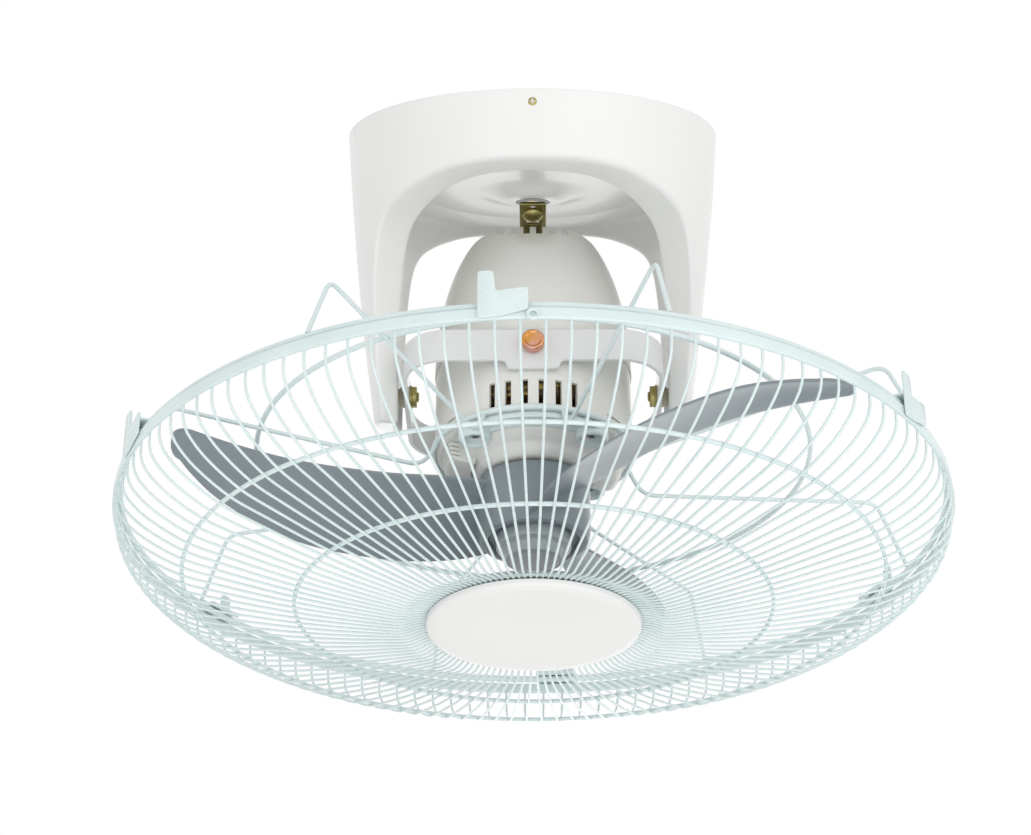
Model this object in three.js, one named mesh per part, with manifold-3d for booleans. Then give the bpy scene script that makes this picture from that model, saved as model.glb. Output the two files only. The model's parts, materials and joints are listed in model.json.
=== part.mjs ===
// Orbital ceiling fan: a canopy with two legs carries a gimbal ring, the ring carries the motor head with
// its wire guard, and a crank on the back of the motor leads the head round in a circle.
// Millimetres, +Z up. The origin is the centre of the canopy's top face, on the ceiling. The front is -Y.
import * as THREE from 'three';
import { mergeVertices } from 'three/addons/utils/BufferGeometryUtils.js';
import Module from 'manifold-3d';

const wasm = await Module();
wasm.setup();

const rad = THREE.MathUtils.degToRad;

// ---------------------------------------------------------------- facets
const LARGE_FACETS = 36;           // facets round the canopy
const HEAD_FACETS = 36;            // round the motor head and its covers
const GEAR_FACETS = 24;            // round hubs, gears and bearings
const SMALL_FACETS = 12;           // round screws, pins and holes
const RIM_FACETS = 60;             // round the guards' rims and hoops

// ---------------------------------------------------------------- driving dimensions
const CLEARANCE = 0.3;             // gap between pieces that touch
const HEAD_TILT = 21.25;           // degrees: the resting lean of the head's axis towards -Y
const GIMBAL_DEPTH = 146.6;        // ceiling to the crossing of the two gimbal axes
const HOUSING_RADIUS = 54;         // motor housing
const HOUSING_FRONT = 38.2;        // its front face; the cover, the hub and the guards stand off it
const CRANK_REAR = -100.5;         // back of the crank arm; the dome and the gearbox lie in front of it
const CRANK_THROW = -CRANK_REAR * Math.tan(rad(HEAD_TILT));   // head's axis to the canopy's
const RIM_RADIUS = 223;            // guard
const BADGE_RADIUS = 57;

// canopy
const VAULT_RADIUS = HOUSING_RADIUS + 23;             // inside faces of the legs
const CANOPY_RADIUS = VAULT_RADIUS + 26;              // at the ceiling
const CANOPY_FOOT_RADIUS = VAULT_RADIUS + 10.7;       // at the bottom of the legs
const CANOPY_HEIGHT = GIMBAL_DEPTH + 17.9;            // ceiling to the bottom of the legs
const CANOPY_WALL = 4;
const CANOPY_EDGE = 1.5;
const BOSS_GAP = 2.7;              // between the crank's back and the boss, on the canopy's axis
const BOSS_DEPTH = GIMBAL_DEPTH + CRANK_REAR / Math.cos(rad(HEAD_TILT)) - BOSS_GAP;
const BOSS_RADIUS = 14;            // round boss around the crank hole
const BOSS_TAPER = 9;
const VAULT_DEPTH = BOSS_DEPTH - 5.1;                 // ceiling of the vault below the top face
const VAULT_FILLET = 17;
const VAULT_THICKNESS = 3.5;
const ARCH_DEPTH = VAULT_DEPTH + 7;                   // crown of the arches below the top face
const ARCH_CROWN_ANGLE = 44;       // degrees from the front where the crown begins to fall
const ARCH_SHOULDER_ANGLE = 62;
const ARCH_SHOULDER_DROP = 18;     // below the crown
const ARCH_BEND_ANGLE = 66;        // where the shoulder runs into the leg
const ARCH_BEND_DROP = 42;
const ARCH_KNEE_ANGLE = 67.5;
const ARCH_KNEE_DROP = 54;
const ARCH_FOOT_ANGLE = 74;        // at which an arch meets a leg's foot
const ARCH_FLARE = 0.95;           // outer edge's angle as a share of the inner edge's
const CRANK_HOLE_RADIUS = 9.5;
const COVER_SCREW_DEPTH = 6.9;     // canopy screws below the top face
const COVER_SCREW_RADIUS = 2.6;
const SCREW_SHANK = 1.5;           // radius of the canopy screws' shanks

// hanger bracket inside the canopy
const BRACKET_THICKNESS = 2.5;
const BRACKET_WIDTH = 26;
const BRACKET_ARM_X = VAULT_RADIUS + 3.2;             // inner face of the arms
const BRACKET_ARM_PAST = 10;       // the arms reach this far below the side bolts
const BRACKET_PLATE_WIDTH = 60;
const BRACKET_NECK_WIDTH = 28;     // strips to the front and back lips
const BRACKET_LIP_WIDTH = 16;
const BRACKET_LIP_DROP = 6;        // the lips reach this far below the canopy screws
const KEYHOLE_SPACING = 104;
const KEYHOLE_RADIUS = 5.5;
const KEYHOLE_SLOT = 5.5;
const KEYHOLE_REACH = 7;
const CABLE_HOLE_RADIUS = 9;
const CABLE_HOLE_Y = 58;
const BLOCK_LENGTH = 48;           // terminal block
const BLOCK_Y = 32;
const BLOCK_WIDTH = 14;
const BLOCK_HEIGHT = 12;
const BLOCK_WAYS = 4;

// swivel pin and bush in the crank hole
const PIN_RADIUS = 4;
const PIN_HEAD_RADIUS = 7;
const PIN_HEAD_HEIGHT = 3.7;
const BUSH_FLANGE = 3;
const BUSH_FLANGE_HEIGHT = 3.2;

// crank arm, outwards from the head's axis
const CRANK_END = CRANK_THROW + 5.2;
const CRANK_PIN_AT = CRANK_END - 3.9;
const CRANK_SCREW_AT = CRANK_END - 9.9;
const CRANK_WINDOW_FAR = CRANK_END - 15.6;
const CRANK_WINDOW_NEAR = CRANK_END - 20.2;

// motor head: lengths along its axis are measured forwards from the gimbal's centre
const HOUSING_WALL = 3;
const HOUSING_REAR = -10.6;
const HOUSING_SHOULDER = 9.2;      // the front corner begins this far behind the front face
const HOUSING_MOUTH_RADIUS = HOUSING_RADIUS - 18;
const HEAD_FLAT = HOUSING_RADIUS - 0.6;               // flats where the gimbal ring passes
const HEAD_FLAT_REACH = 17.5;
const DOME_BASE_RADIUS = HOUSING_RADIUS + 0.6;
const DOME_REAR = CRANK_REAR + 10;      // flat back of the dome, clear of the crank's screw
const DOME_FLANK = 25;             // the dome's side leaves the straight this far in front of its back
const GEARBOX_RADIUS = 30;
const DOME_OPENING_RADIUS = GEARBOX_RADIUS - 10;
const DOME_EDGE_RADIUS = GEARBOX_RADIUS + 7.4;
const DOME_FACET = DOME_EDGE_RADIUS - 3.4;             // leaning flats at the dome's front and back
const DOME_FACET_LENGTH = 30.5;
const DOME_WALL = 2.5;
const DOME_STEPS = 7;
const DOME_SLOTS = 6;
const DOME_SLOT_PITCH = 7.1;
const DOME_SLOT_WIDTH = 3.6;
const DOME_SLOT_DEPTH = 7.8;
const DOME_SLOT_INNER = DOME_OPENING_RADIUS + 2;
const VENT_PITCH_ANGLE = 9.6;
const VENT_WIDTH = 3.3;
const VENT_REAR = HOUSING_FRONT - 18.6;
const VENT_LENGTH = 15.2;
const VENT_COUNT = 6;
const COVER_FRONT = HOUSING_FRONT + 14.8;
const COVER_BASE_RADIUS = HOUSING_RADIUS - 13.5;
const COVER_NOSE_RADIUS = 29;
const POD_RADIUS = HOUSING_RADIUS - 4.5;              // side pods of the front cover
const POD_FRONT = COVER_FRONT - 5;
const POD_HALF_WIDTH = 21;
const SHAFT_RADIUS = 4;
const STATOR_RADIUS = (HOUSING_RADIUS - HOUSING_WALL) * Math.cos(Math.PI / HEAD_FACETS) - CLEARANCE;
const STATOR_BORE = 23;
const STATOR_REAR = HOUSING_FRONT - 26.2;
const STATOR_LENGTH = 15;
const WINDING_REACH = 6.2;
const WINDING_INSET = 8;           // end turns inside the stator's rim
const WINDING_BORE = STATOR_BORE + 3;
const STATOR_SLOTS = 6;
const SLOT_SIZE = 6;
const SLOT_X = STATOR_BORE + 8;
const ROTOR_GAP = 0.5;
const BEARING_RADIUS = 11;
const BEARING_LENGTH = 8;

// gimbal ring and its bolts
const RING_THICKNESS = 2.6;
const RING_HALF_X = VAULT_RADIUS - 6.2;               // outer faces
const RING_HALF_Y = HEAD_FLAT + 1 + RING_THICKNESS;
const RING_WIDTH = 19;
const RING_CORNER = 25;
const RING_TAB_WIDTH = 28.6;
const RING_TAB_DROP = 5.2;         // the tabs reach this far past the strap's front edge
const SIDE_BOLT_RADIUS = 3;
const SIDE_NUT_RADIUS = 5.6;
const SIDE_NUT_LENGTH = 3.6;
const SIDE_BOLT_END = 1.5;         // thread past the nut
const BUSH_RADIUS = 5.3;
const ROLL_BOLT_RADIUS = 3.6;
const ROLL_BOLT_DEPTH = 6;         // into the head
const ROLL_HEAD_RADIUS = 6.2;
const ROLL_HEAD_LENGTH = 5;
const ROLL_HEAD_LIP = 1.6;         // rim round the dished end
const ROLL_HEAD_DISH = 0.6;

// orbit gearbox and crank
const GEARBOX_REAR = DOME_REAR + 4.5;
const OUTPUT_GEAR_REAR = GEARBOX_REAR + 8;
const CROSS_AXIS_AT = OUTPUT_GEAR_REAR + 17;
const GEARBOX_FRONT = CROSS_AXIS_AT + 19;
const GEARBOX_WALL = 2.2;
const LEG_WIDTH = 10;              // the case's three legs
const LEG_THICKNESS = 5;
const LEG_OVERLAP = 10;            // a leg runs this far along the case
const FOOT_FRONT = -2;             // front and back of a leg's foot
const FOOT_REAR = -8;
const WORM_RADIUS = 5;             // worm cut in the rear end of the motor shaft
const WORM_LENGTH = 10;
const SHAFT_REAR = CROSS_AXIS_AT - 6;
const CROSS_AXIS_X = 16;           // cross shaft beside the motor shaft
const CROSS_WORM_RADIUS = 4;
const CROSS_WORM_LENGTH = 8;
const CROSS_SHAFT_RADIUS = 2.5;
const IDLER_X = 5;                 // idler shaft, parallel to the motor shaft
const IDLER_Y = 14;
const IDLER_SHAFT_RADIUS = 2;
const GEAR_WIDTH = 4;
const PINION_RADIUS = 3.2;
const OUTPUT_SHAFT_RADIUS = 4;
const CRANK_WIDTH = 14.8;
const CRANK_THICKNESS = 1.8;
const CRANK_CORNER = 2;
const CRANK_ROUND = 4;             // centre of the round end, past the head's axis
const CRANK_PIN_HOLE = 1.7;
const CRANK_SCREW_RADIUS = 5.8;
const CRANK_SCREW_HOLE = 2.3;
const CRANK_WINDOW_WIDTH = 7;

// impeller
const HUB_RADIUS = 30.7;
const HUB_REAR = COVER_FRONT + 2.4;
const HUB_FRONT = HUB_REAR + 34.6;
const HUB_WALL = 3;
const HUB_BOSS_RADIUS = 9;
const HUB_BOSS_REAR = HUB_REAR + 6;
const NUT_SEAT = HUB_FRONT - 1.2;  // shallow seat that the nut turns on
const SHAFT_FRONT = HUB_FRONT + 9;
const BLADE_COUNT = 3;
const BLADE_THICKNESS = 2.2;
const BLADE_CAMBER = 0.055;        // as a share of the chord
const BLADE_ROOT = HUB_RADIUS - 3.7;
const BLADE_TIP = RIM_RADIUS - 27;
// Share of the span, then each edge's angle in degrees and its rise above the hub's back.
const BLADE_STATIONS = [
  { at: 0, lead: 38, leadRise: 6.6, trail: -36, trailRise: 31.6 },
  { at: 0.136, lead: 27, leadRise: 6.1, trail: -28, trailRise: 32.6 },
  { at: 0.402, lead: 19.2, leadRise: 6.6, trail: -14, trailRise: 31.1 },
  { at: 0.61, lead: 19.3, leadRise: 7.1, trail: -5.5, trailRise: 26.6 },
  { at: 0.817, lead: 21.8, leadRise: 7.6, trail: 5, trailRise: 17.6 },
  { at: 0.935, lead: 23.8, leadRise: 8.1, trail: 13, trailRise: 12.6 },
  { at: 1, lead: 24.6, leadRise: 8.1, trail: 19.5, trailRise: 9.6 },
];
const NUT_BASE_RADIUS = 20.5;
const NUT_FACE_RADIUS = 15;
const NUT_FRONT = HUB_FRONT + 11.5;
const NUT_SHOULDER = 6;            // the step behind the nut's face

// guards
const RIM_REAR = COVER_FRONT + 26.9;
const RIM_WIDTH = 6.1;
const RIM_THICKNESS = 2.4;
const WIRE_COUNT = 120;
const WIRE_RADIUS = 0.95;
const BADGE_REAR = COVER_FRONT + 85.9;
const BADGE_FRONT = BADGE_REAR + 3.3;
const BADGE_EDGE = 2.4;            // the rounded edge falls this far below the face
const BADGE_BOSS_RADIUS = 6;
const BADGE_BOSS_LENGTH = 4;
const PLATE_GAP = 5.2;             // from the badge's back to the clamping plate
const PLATE_THICKNESS = 1.2;
const NOSE_AT = BADGE_REAR - CLEARANCE - 2.2;         // the wires' ends, behind the badge
const GUARD_EYE_RADIUS = BADGE_RADIUS - 2;            // inner ring of the front guard, behind the badge
const EYE_HALF_WIDTH = 2.2;
const OUTER_HOOP_RADIUS = RIM_RADIUS - 38.5;
const INNER_HOOP_RADIUS = RIM_RADIUS - 97.4;
const HOOP_WIRE = 1.15;            // wire radius of the two hoops
const RIB_COUNT = 8;
const RIB_FIRST_ANGLE = 16.5;
const RIB_WIRE = 1.4;
const RIB_BEND = 9;
const INNER_RING_RADIUS = HOUSING_RADIUS + 0.8;
const INNER_RING_AT = HOUSING_FRONT - 1.2;
const RIB_DIP_RADIUS = INNER_RING_RADIUS + 9.2;
const RIB_DIP = INNER_RING_AT + 15;
const RIB_PEAK_RADIUS = RIM_RADIUS - 20;
const RIB_PEAK = INNER_RING_AT + 0.5;
const REAR_RIM_RADIUS = RIM_RADIUS - 3.6;
const REAR_RIM_WIRE = 2;
const MID_RING_RADIUS = RIM_RADIUS - 72.8;
const REAR_RING_WIRE = 1.5;
const CLIP_COUNT = 6;
const CLIP_FIRST_ANGLE = -93.5;
const CLIP_WIDTH = 23;
const CLIP_SHEET = 1.2;
const CLIP_HOOK = 7;               // the back reaches this far in behind the rear rim
const CLIP_TAB_WIDTH = 7;
const CLIP_TAB_REACH = 13;
const BAND_THICKNESS = 2;          // guard brackets' arched band
const LUG_ANGLE = 45;              // guard brackets' screw cups from the left-right axis
const LUG_AT = HOUSING_RADIUS - 10;
const LUG_RADIUS = 9.2;
const LUG_HEIGHT = 4.6;
const GUARD_SCREW_RADIUS = 3.6;
const GUARD_SCREW_SHANK = 1.6;

// ---------------------------------------------------------------- values worked out from them
const ringFront = RING_WIDTH / 2;
const bracketArmOut = BRACKET_ARM_X + BRACKET_THICKNESS;
const vaultTop = -VAULT_DEPTH;
const rimFront = RIM_REAR + RIM_WIDTH;
const rimInner = RIM_RADIUS - RIM_THICKNESS;
const crankFront = CRANK_REAR + CRANK_THICKNESS;
const rearRimAt = RIM_REAR - REAR_RIM_WIRE - CLEARANCE;
const lipAt = CANOPY_RADIUS - CANOPY_WALL - 4.5;     // hanger bracket's lips, behind the canopy screws
const swivelTop = vaultTop + VAULT_THICKNESS + CLEARANCE + BUSH_FLANGE_HEIGHT;

// ---------------------------------------------------------------- shape helpers
// A closed three.js geometry as a solid that can be joined and cut, whichever way its faces look.
function solid(geometry) {
  const bare = geometry.clone();
  bare.deleteAttribute('normal');
  bare.deleteAttribute('uv');
  const merged = mergeVertices(bare, 1e-4);
  const vertProperties = new Float32Array(merged.attributes.position.array);
  const triVerts = new Uint32Array(merged.index.array);
  const body = new wasm.Manifold(new wasm.Mesh({ numProp: 3, vertProperties, triVerts }));
  if (body.volume() > 0) {
    return body;
  }
  return new wasm.Manifold(new wasm.Mesh({ numProp: 3, vertProperties, triVerts: triVerts.reverse() }));
}

// A solid back as a three.js geometry.
function geometryOf(body) {
  const mesh = body.getMesh();
  const geometry = new THREE.BufferGeometry();
  geometry.setAttribute('position', new THREE.BufferAttribute(new Float32Array(mesh.vertProperties), 3));
  geometry.setIndex(new THREE.BufferAttribute(new Uint32Array(mesh.triVerts), 1));
  geometry.computeVertexNormals();
  return geometry;
}

const join = (...bodies) => bodies.reduce((sum, body) => sum.add(body));
const cut = (body, ...tools) => tools.reduce((rest, tool) => rest.subtract(tool), body);

// A solid of revolution about Z from a closed outline of [radius, z] points, in either order.
function turned(outline, segments = HEAD_FACETS) {
  let area = 0;
  outline.forEach(([r, z], i) => {
    const [nextR, nextZ] = outline[(i + 1) % outline.length];
    area += r * nextZ - nextR * z;
  });
  const points = (area > 0 ? outline : [...outline].reverse()).map(([r, z]) => new THREE.Vector2(r, z));
  points.push(points[0].clone());
  return solid(new THREE.LatheGeometry(points, segments).rotateX(Math.PI / 2));
}

// The same for outlines given as [radius, distance forwards along the head's axis].
const turnedHead = (outline, segments) => turned(outline.map(([r, l]) => [r, -l]), segments);

const disc = (radius, low, high, segments) =>
  turned([[0, low], [radius, low], [radius, high], [0, high]], segments);
const tubeZ = (outer, inner, low, high, segments) =>
  turned([[inner, low], [outer, low], [outer, high], [inner, high]], segments);
const headDisc = (radius, rear, front, segments) => disc(radius, -front, -rear, segments);
const headTube = (outer, inner, rear, front, segments) => tubeZ(outer, inner, -front, -rear, segments);

function box(x0, x1, y0, y1, z0, z1) {
  const shape = new THREE.BoxGeometry(x1 - x0, y1 - y0, z1 - z0);
  return solid(shape.translate((x0 + x1) / 2, (y0 + y1) / 2, (z0 + z1) / 2));
}

// A ring of round wire about Z.
function hoop(radius, wire, z, segments = RIM_FACETS, sides = 4) {
  const outline = [];
  for (let i = 0; i < sides; i += 1) {
    const angle = (2 * Math.PI * (i + 0.5)) / sides;
    outline.push([radius + wire * Math.cos(angle), z + wire * Math.sin(angle)]);
  }
  return turned(outline, segments);
}

// A polygon with the given number of corners, for wires and bolts.
function polygon(radius, sides) {
  const shape = new THREE.Shape();
  for (let i = 0; i < sides; i += 1) {
    const angle = (2 * Math.PI * i) / sides;
    shape[i === 0 ? 'moveTo' : 'lineTo'](radius * Math.cos(angle), radius * Math.sin(angle));
  }
  shape.closePath();
  return shape;
}

// A path of straight runs that three.js can carry a section along, one step for each run.
class Bends extends THREE.Curve {
  constructor(points) {
    super();
    this.points = points;
  }

  getPoint(t) {
    const at = t * (this.points.length - 1);
    const i = Math.min(Math.floor(at), this.points.length - 2);
    return this.points[i].clone().lerp(this.points[i + 1], at - i);
  }

  getPointAt(t) {
    return this.getPoint(t);
  }

  getTangent(t) {
    const at = t * (this.points.length - 1);
    const before = this.points[Math.max(Math.ceil(at - 1e-6) - 1, 0)];
    const here = this.points[Math.round(at)];
    const after = this.points[Math.min(Math.floor(at + 1e-6) + 1, this.points.length - 1)];
    const into = here.clone().sub(before).normalize();
    const out = after.clone().sub(here).normalize();
    return into.add(out).normalize();
  }

  getTangentAt(t) {
    return this.getTangent(t);
  }
}

function wire(points, radius, sides) {
  const path = new Bends(points);
  const geometry = new THREE.ExtrudeGeometry(polygon(radius, sides), {
    steps: points.length - 1,
    extrudePath: path,
    bevelEnabled: false,
  });
  return solid(geometry);
}

// Corners of a bent line rounded by short arcs, in a plane given by [radius, distance forwards].
function rounded(points, radius, steps) {
  const path = [points[0]];
  for (let i = 1; i < points.length - 1; i += 1) {
    const corner = new THREE.Vector2(...points[i]);
    const into = new THREE.Vector2(...points[i - 1]).sub(corner);
    const out = new THREE.Vector2(...points[i + 1]).sub(corner);
    const reach = Math.min(radius, into.length() / 2, out.length() / 2);
    const start = corner.clone().addScaledVector(into.normalize(), reach);
    const end = corner.clone().addScaledVector(out.normalize(), reach);
    const curve = new THREE.QuadraticBezierCurve(start, corner, end);
    path.push(...curve.getPoints(steps).map((p) => [p.x, p.y]));
  }
  path.push(points[points.length - 1]);
  return path;
}

// A bar of the given corner count along X or Y, centred on that axis.
function barX(radius, x0, x1, sides = SMALL_FACETS) {
  const bar = new THREE.CylinderGeometry(radius, radius, x1 - x0, sides).rotateZ(Math.PI / 2);
  return solid(bar.translate((x0 + x1) / 2, 0, 0));
}
const barY = (radius, y0, y1, sides = SMALL_FACETS) =>
  solid(new THREE.CylinderGeometry(radius, radius, y1 - y0, sides).translate(0, (y0 + y1) / 2, 0));

const turnZ = (body, degrees) => body.rotate([0, 0, degrees]);

// ---------------------------------------------------------------- scene graph
const fan = new THREE.Group();
const gimbal = new THREE.Group();
gimbal.position.set(0, 0, -GIMBAL_DEPTH);
gimbal.rotation.x = -rad(HEAD_TILT);
fan.add(gimbal);
const head = new THREE.Group();
gimbal.add(head);

const finishes = {
  shell: { color: 0xf1f1ee, roughness: 0.35, metalness: 0 },
  cream: { color: 0xe9e6dd, roughness: 0.45, metalness: 0 },
  enamel: { color: 0xe6eeee, roughness: 0.35, metalness: 0.1 },
  guard: { color: 0xd9e8e6, roughness: 0.3, metalness: 0.2 },
  blade: { color: 0x7b8389, roughness: 0.45, metalness: 0 },
  brass: { color: 0x8c7a3e, roughness: 0.35, metalness: 0.9 },
  copper: { color: 0xc8843c, roughness: 0.3, metalness: 0.9 },
  steel: { color: 0xb9bcbd, roughness: 0.4, metalness: 0.9 },
  nylon: { color: 0xcfc8ac, roughness: 0.6, metalness: 0 },
  dark: { color: 0x3a3c3e, roughness: 0.6, metalness: 0.3 },
};

function addPiece(group, name, finish, body) {
  const mesh = new THREE.Mesh(geometryOf(body), new THREE.MeshStandardMaterial(finishes[finish]));
  mesh.name = name;
  group.add(mesh);
  return mesh;
}

// ---------------------------------------------------------------- canopy
// Outer radius of the tapered canopy at a height z, slightly barrelled.
function canopyRadius(z) {
  const t = -z / CANOPY_HEIGHT;
  const taper = CANOPY_RADIUS - CANOPY_FOOT_RADIUS;
  return CANOPY_RADIUS - taper * (0.55 * t + 0.45 * t * t);
}

// Edge of an arch on the inside of the vault, as [angle from the front in degrees, z]. It climbs a leg,
// rounds the shoulder and crosses the crown.
function archOutline() {
  const half = [
    [ARCH_FOOT_ANGLE + 1, -CANOPY_HEIGHT - 10],
    [ARCH_KNEE_ANGLE, -ARCH_DEPTH - ARCH_KNEE_DROP],
  ];
  const curve = new THREE.CubicBezierCurve(
    new THREE.Vector2(ARCH_BEND_ANGLE, -ARCH_DEPTH - ARCH_BEND_DROP),
    new THREE.Vector2(ARCH_SHOULDER_ANGLE, -ARCH_DEPTH - ARCH_SHOULDER_DROP),
    new THREE.Vector2(ARCH_CROWN_ANGLE, -ARCH_DEPTH - 3),
    new THREE.Vector2(0, -ARCH_DEPTH),
  );
  curve.getPoints(7).forEach((p) => half.push([p.x, p.y]));
  return half;
}

// The open space of one arch: its outline carried outwards and inwards through the wall.
function archCutter() {
  const half = archOutline();
  const outline = [...half, ...half.slice(0, -1).reverse().map(([angle, z]) => [-angle, z])];
  const shape = new THREE.Shape(outline.map(([angle, z]) => new THREE.Vector2(angle, z)));
  const geometry = new THREE.ExtrudeGeometry(shape, { depth: 1, steps: 1, bevelEnabled: false });
  const places = geometry.attributes.position;
  const inward = -1.4;             // shares of the way from the inner edge to the outer one
  const outward = 9;
  const outerEdge = canopyRadius((-CANOPY_HEIGHT * 2) / 3);
  for (let i = 0; i < places.count; i += 1) {
    const angle = rad(places.getX(i));
    const inner = new THREE.Vector2(Math.sin(angle), -Math.cos(angle)).multiplyScalar(VAULT_RADIUS);
    const flared = angle * ARCH_FLARE;
    const outer = new THREE.Vector2(Math.sin(flared), -Math.cos(flared)).multiplyScalar(outerEdge);
    const at = inner.lerp(outer, places.getZ(i) > 0.5 ? outward : inward);
    places.setXYZ(i, at.x, at.y, places.getY(i));
  }
  return solid(geometry);
}

function makeCanopy() {
  const levels = [0, 0.35, 0.7, 1].map((t) => -CANOPY_HEIGHT * t);
  const outer = levels.map((z) => [canopyRadius(z), z]);
  outer[0] = [CANOPY_RADIUS - CANOPY_EDGE, 0];
  outer.splice(1, 0, [CANOPY_RADIUS, -CANOPY_EDGE]);
  const body = turned([[0, 0], ...outer, [0, -CANOPY_HEIGHT]], LARGE_FACETS);

  const fillet = new THREE.QuadraticBezierCurve(
    new THREE.Vector2(VAULT_RADIUS, vaultTop - VAULT_FILLET),
    new THREE.Vector2(VAULT_RADIUS, vaultTop),
    new THREE.Vector2(VAULT_RADIUS - 1.6 * VAULT_FILLET, vaultTop),
  ).getPoints(4).map((p) => [p.x, p.y]);
  const vault = turned([
    [0, -CANOPY_HEIGHT - 1],
    [VAULT_RADIUS, -CANOPY_HEIGHT - 1],
    ...fillet,
    [BOSS_RADIUS + BOSS_TAPER, vaultTop],
    [BOSS_RADIUS, -BOSS_DEPTH],
    [0, -BOSS_DEPTH],
  ], LARGE_FACETS);

  // wiring space above the vault, open to the ceiling
  const skirt = CANOPY_RADIUS - CANOPY_WALL;
  const space = turned([
    [0, 1],
    [skirt, 1],
    [skirt, -12],
    [skirt - 1.5, -ARCH_DEPTH + VAULT_THICKNESS],
    [VAULT_RADIUS + VAULT_THICKNESS, -ARCH_DEPTH + VAULT_THICKNESS],
    [VAULT_RADIUS - VAULT_FILLET, vaultTop + VAULT_THICKNESS],
    [0, vaultTop + VAULT_THICKNESS],
  ], LARGE_FACETS);
  const hole = disc(CRANK_HOLE_RADIUS, -BOSS_DEPTH - 1, 0, GEAR_FACETS);

  let shell = cut(body, vault, archCutter(), turnZ(archCutter(), 180), space, hole);
  [0, 180].forEach((side) => {
    const pocket = box(
      BRACKET_ARM_X - CLEARANCE,
      bracketArmOut + CLEARANCE,
      -BRACKET_WIDTH / 2 - CLEARANCE,
      BRACKET_WIDTH / 2 + CLEARANCE,
      -GIMBAL_DEPTH - BRACKET_ARM_PAST - 1,
      1,
    );
    const bushHole = barX(BUSH_RADIUS + CLEARANCE, VAULT_RADIUS - 3, BRACKET_ARM_X);
    shell = cut(shell, turnZ(pocket, side), turnZ(bushHole.translate([0, 0, -GIMBAL_DEPTH]), side));
  });
  [-90, 90].forEach((side) => {
    const screwHole = barX(COVER_SCREW_RADIUS + CLEARANCE, skirt - 3, CANOPY_RADIUS + 2);
    shell = cut(shell, turnZ(screwHole.translate([0, 0, -COVER_SCREW_DEPTH]), side));
  });
  addPiece(fan, 'canopy_shell', 'shell', shell);
}

// Steel strap that carries the fan: a plate on the ceiling with two keyholes, an arm down inside each leg
// and a lip at the front and back for the canopy's screws.
function makeHanger() {
  const half = BRACKET_PLATE_WIDTH / 2;
  const neckHalf = BRACKET_NECK_WIDTH / 2;
  let plate = box(-bracketArmOut, bracketArmOut, -half, half, -BRACKET_THICKNESS, 0);
  plate = plate.intersect(disc(CANOPY_RADIUS - CANOPY_WALL - 2, -BRACKET_THICKNESS, 0, HEAD_FACETS));
  const neck = box(-neckHalf, neckHalf, -lipAt, lipAt, -BRACKET_THICKNESS, 0);
  let strap = join(plate, neck);
  [0, 180].forEach((side) => {
    const arm = box(
      BRACKET_ARM_X,
      bracketArmOut,
      -BRACKET_WIDTH / 2,
      BRACKET_WIDTH / 2,
      -GIMBAL_DEPTH - BRACKET_ARM_PAST,
      -BRACKET_THICKNESS / 2,
    );
    const boltHole = barX(SIDE_BOLT_RADIUS + CLEARANCE, BRACKET_ARM_X - 2, bracketArmOut + 2);
    const round = disc(KEYHOLE_RADIUS, -5, 5, SMALL_FACETS).translate([KEYHOLE_SPACING / 2, 0, 0]);
    const slot = box(
      KEYHOLE_SPACING / 2,
      KEYHOLE_SPACING / 2 + KEYHOLE_RADIUS + KEYHOLE_REACH,
      -KEYHOLE_SLOT / 2,
      KEYHOLE_SLOT / 2,
      -5,
      5,
    );
    const holes = [boltHole.translate([0, 0, -GIMBAL_DEPTH]), round, slot];
    strap = join(strap, turnZ(arm, side));
    strap = cut(strap, ...holes.map((hole) => turnZ(hole, side)));
  });
  [-90, 90].forEach((side) => {
    const tab = box(
      lipAt - BRACKET_THICKNESS,
      lipAt,
      -BRACKET_LIP_WIDTH / 2,
      BRACKET_LIP_WIDTH / 2,
      -COVER_SCREW_DEPTH - BRACKET_LIP_DROP,
      -BRACKET_THICKNESS / 2,
    );
    const hole = barX(SCREW_SHANK + CLEARANCE, lipAt - 6, lipAt + 3, 8);
    strap = join(strap, turnZ(tab, side));
    strap = cut(strap, turnZ(hole.translate([0, 0, -COVER_SCREW_DEPTH]), side));
  });
  strap = cut(strap, disc(CABLE_HOLE_RADIUS, -5, 5, SMALL_FACETS).translate([0, CABLE_HOLE_Y, 0]));
  addPiece(fan, 'hanger_bracket', 'steel', strap);
}

function makeCanopyScrews() {
  [['canopy_screw_front', -90], ['canopy_screw_back', 90]].forEach(([name, side]) => {
    const headPart = barX(COVER_SCREW_RADIUS, CANOPY_RADIUS - 2.5, CANOPY_RADIUS - 0.5);
    const shank = barX(SCREW_SHANK, lipAt - BRACKET_THICKNESS - 3, CANOPY_RADIUS - 2, 8);
    const screw = join(headPart, shank).translate([0, 0, -COVER_SCREW_DEPTH]);
    addPiece(fan, name, 'brass', turnZ(screw, side));
  });
}

// Mains terminal block on the floor of the wiring space.
function makeTerminalBlock() {
  const floor = vaultTop + VAULT_THICKNESS + CLEARANCE;
  const half = BLOCK_LENGTH / 2;
  const back = BLOCK_Y + BLOCK_WIDTH;
  const pitch = BLOCK_LENGTH / BLOCK_WAYS;
  let block = box(-half, half, BLOCK_Y, back, floor, floor + BLOCK_HEIGHT);
  for (let i = 0; i < BLOCK_WAYS; i += 1) {
    const x = (i + 0.5) * pitch - half;
    const screwWell = disc(2.4, floor + 6, floor + BLOCK_HEIGHT + 2, 8).translate([x, BLOCK_Y + 4, 0]);
    const wireHole = box(x - 2, x + 2, back - 6, back + 1, floor + 3, floor + 8);
    block = cut(block, screwWell, wireHole);
  }
  addPiece(fan, 'terminal_block', 'nylon', block);
}

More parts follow.
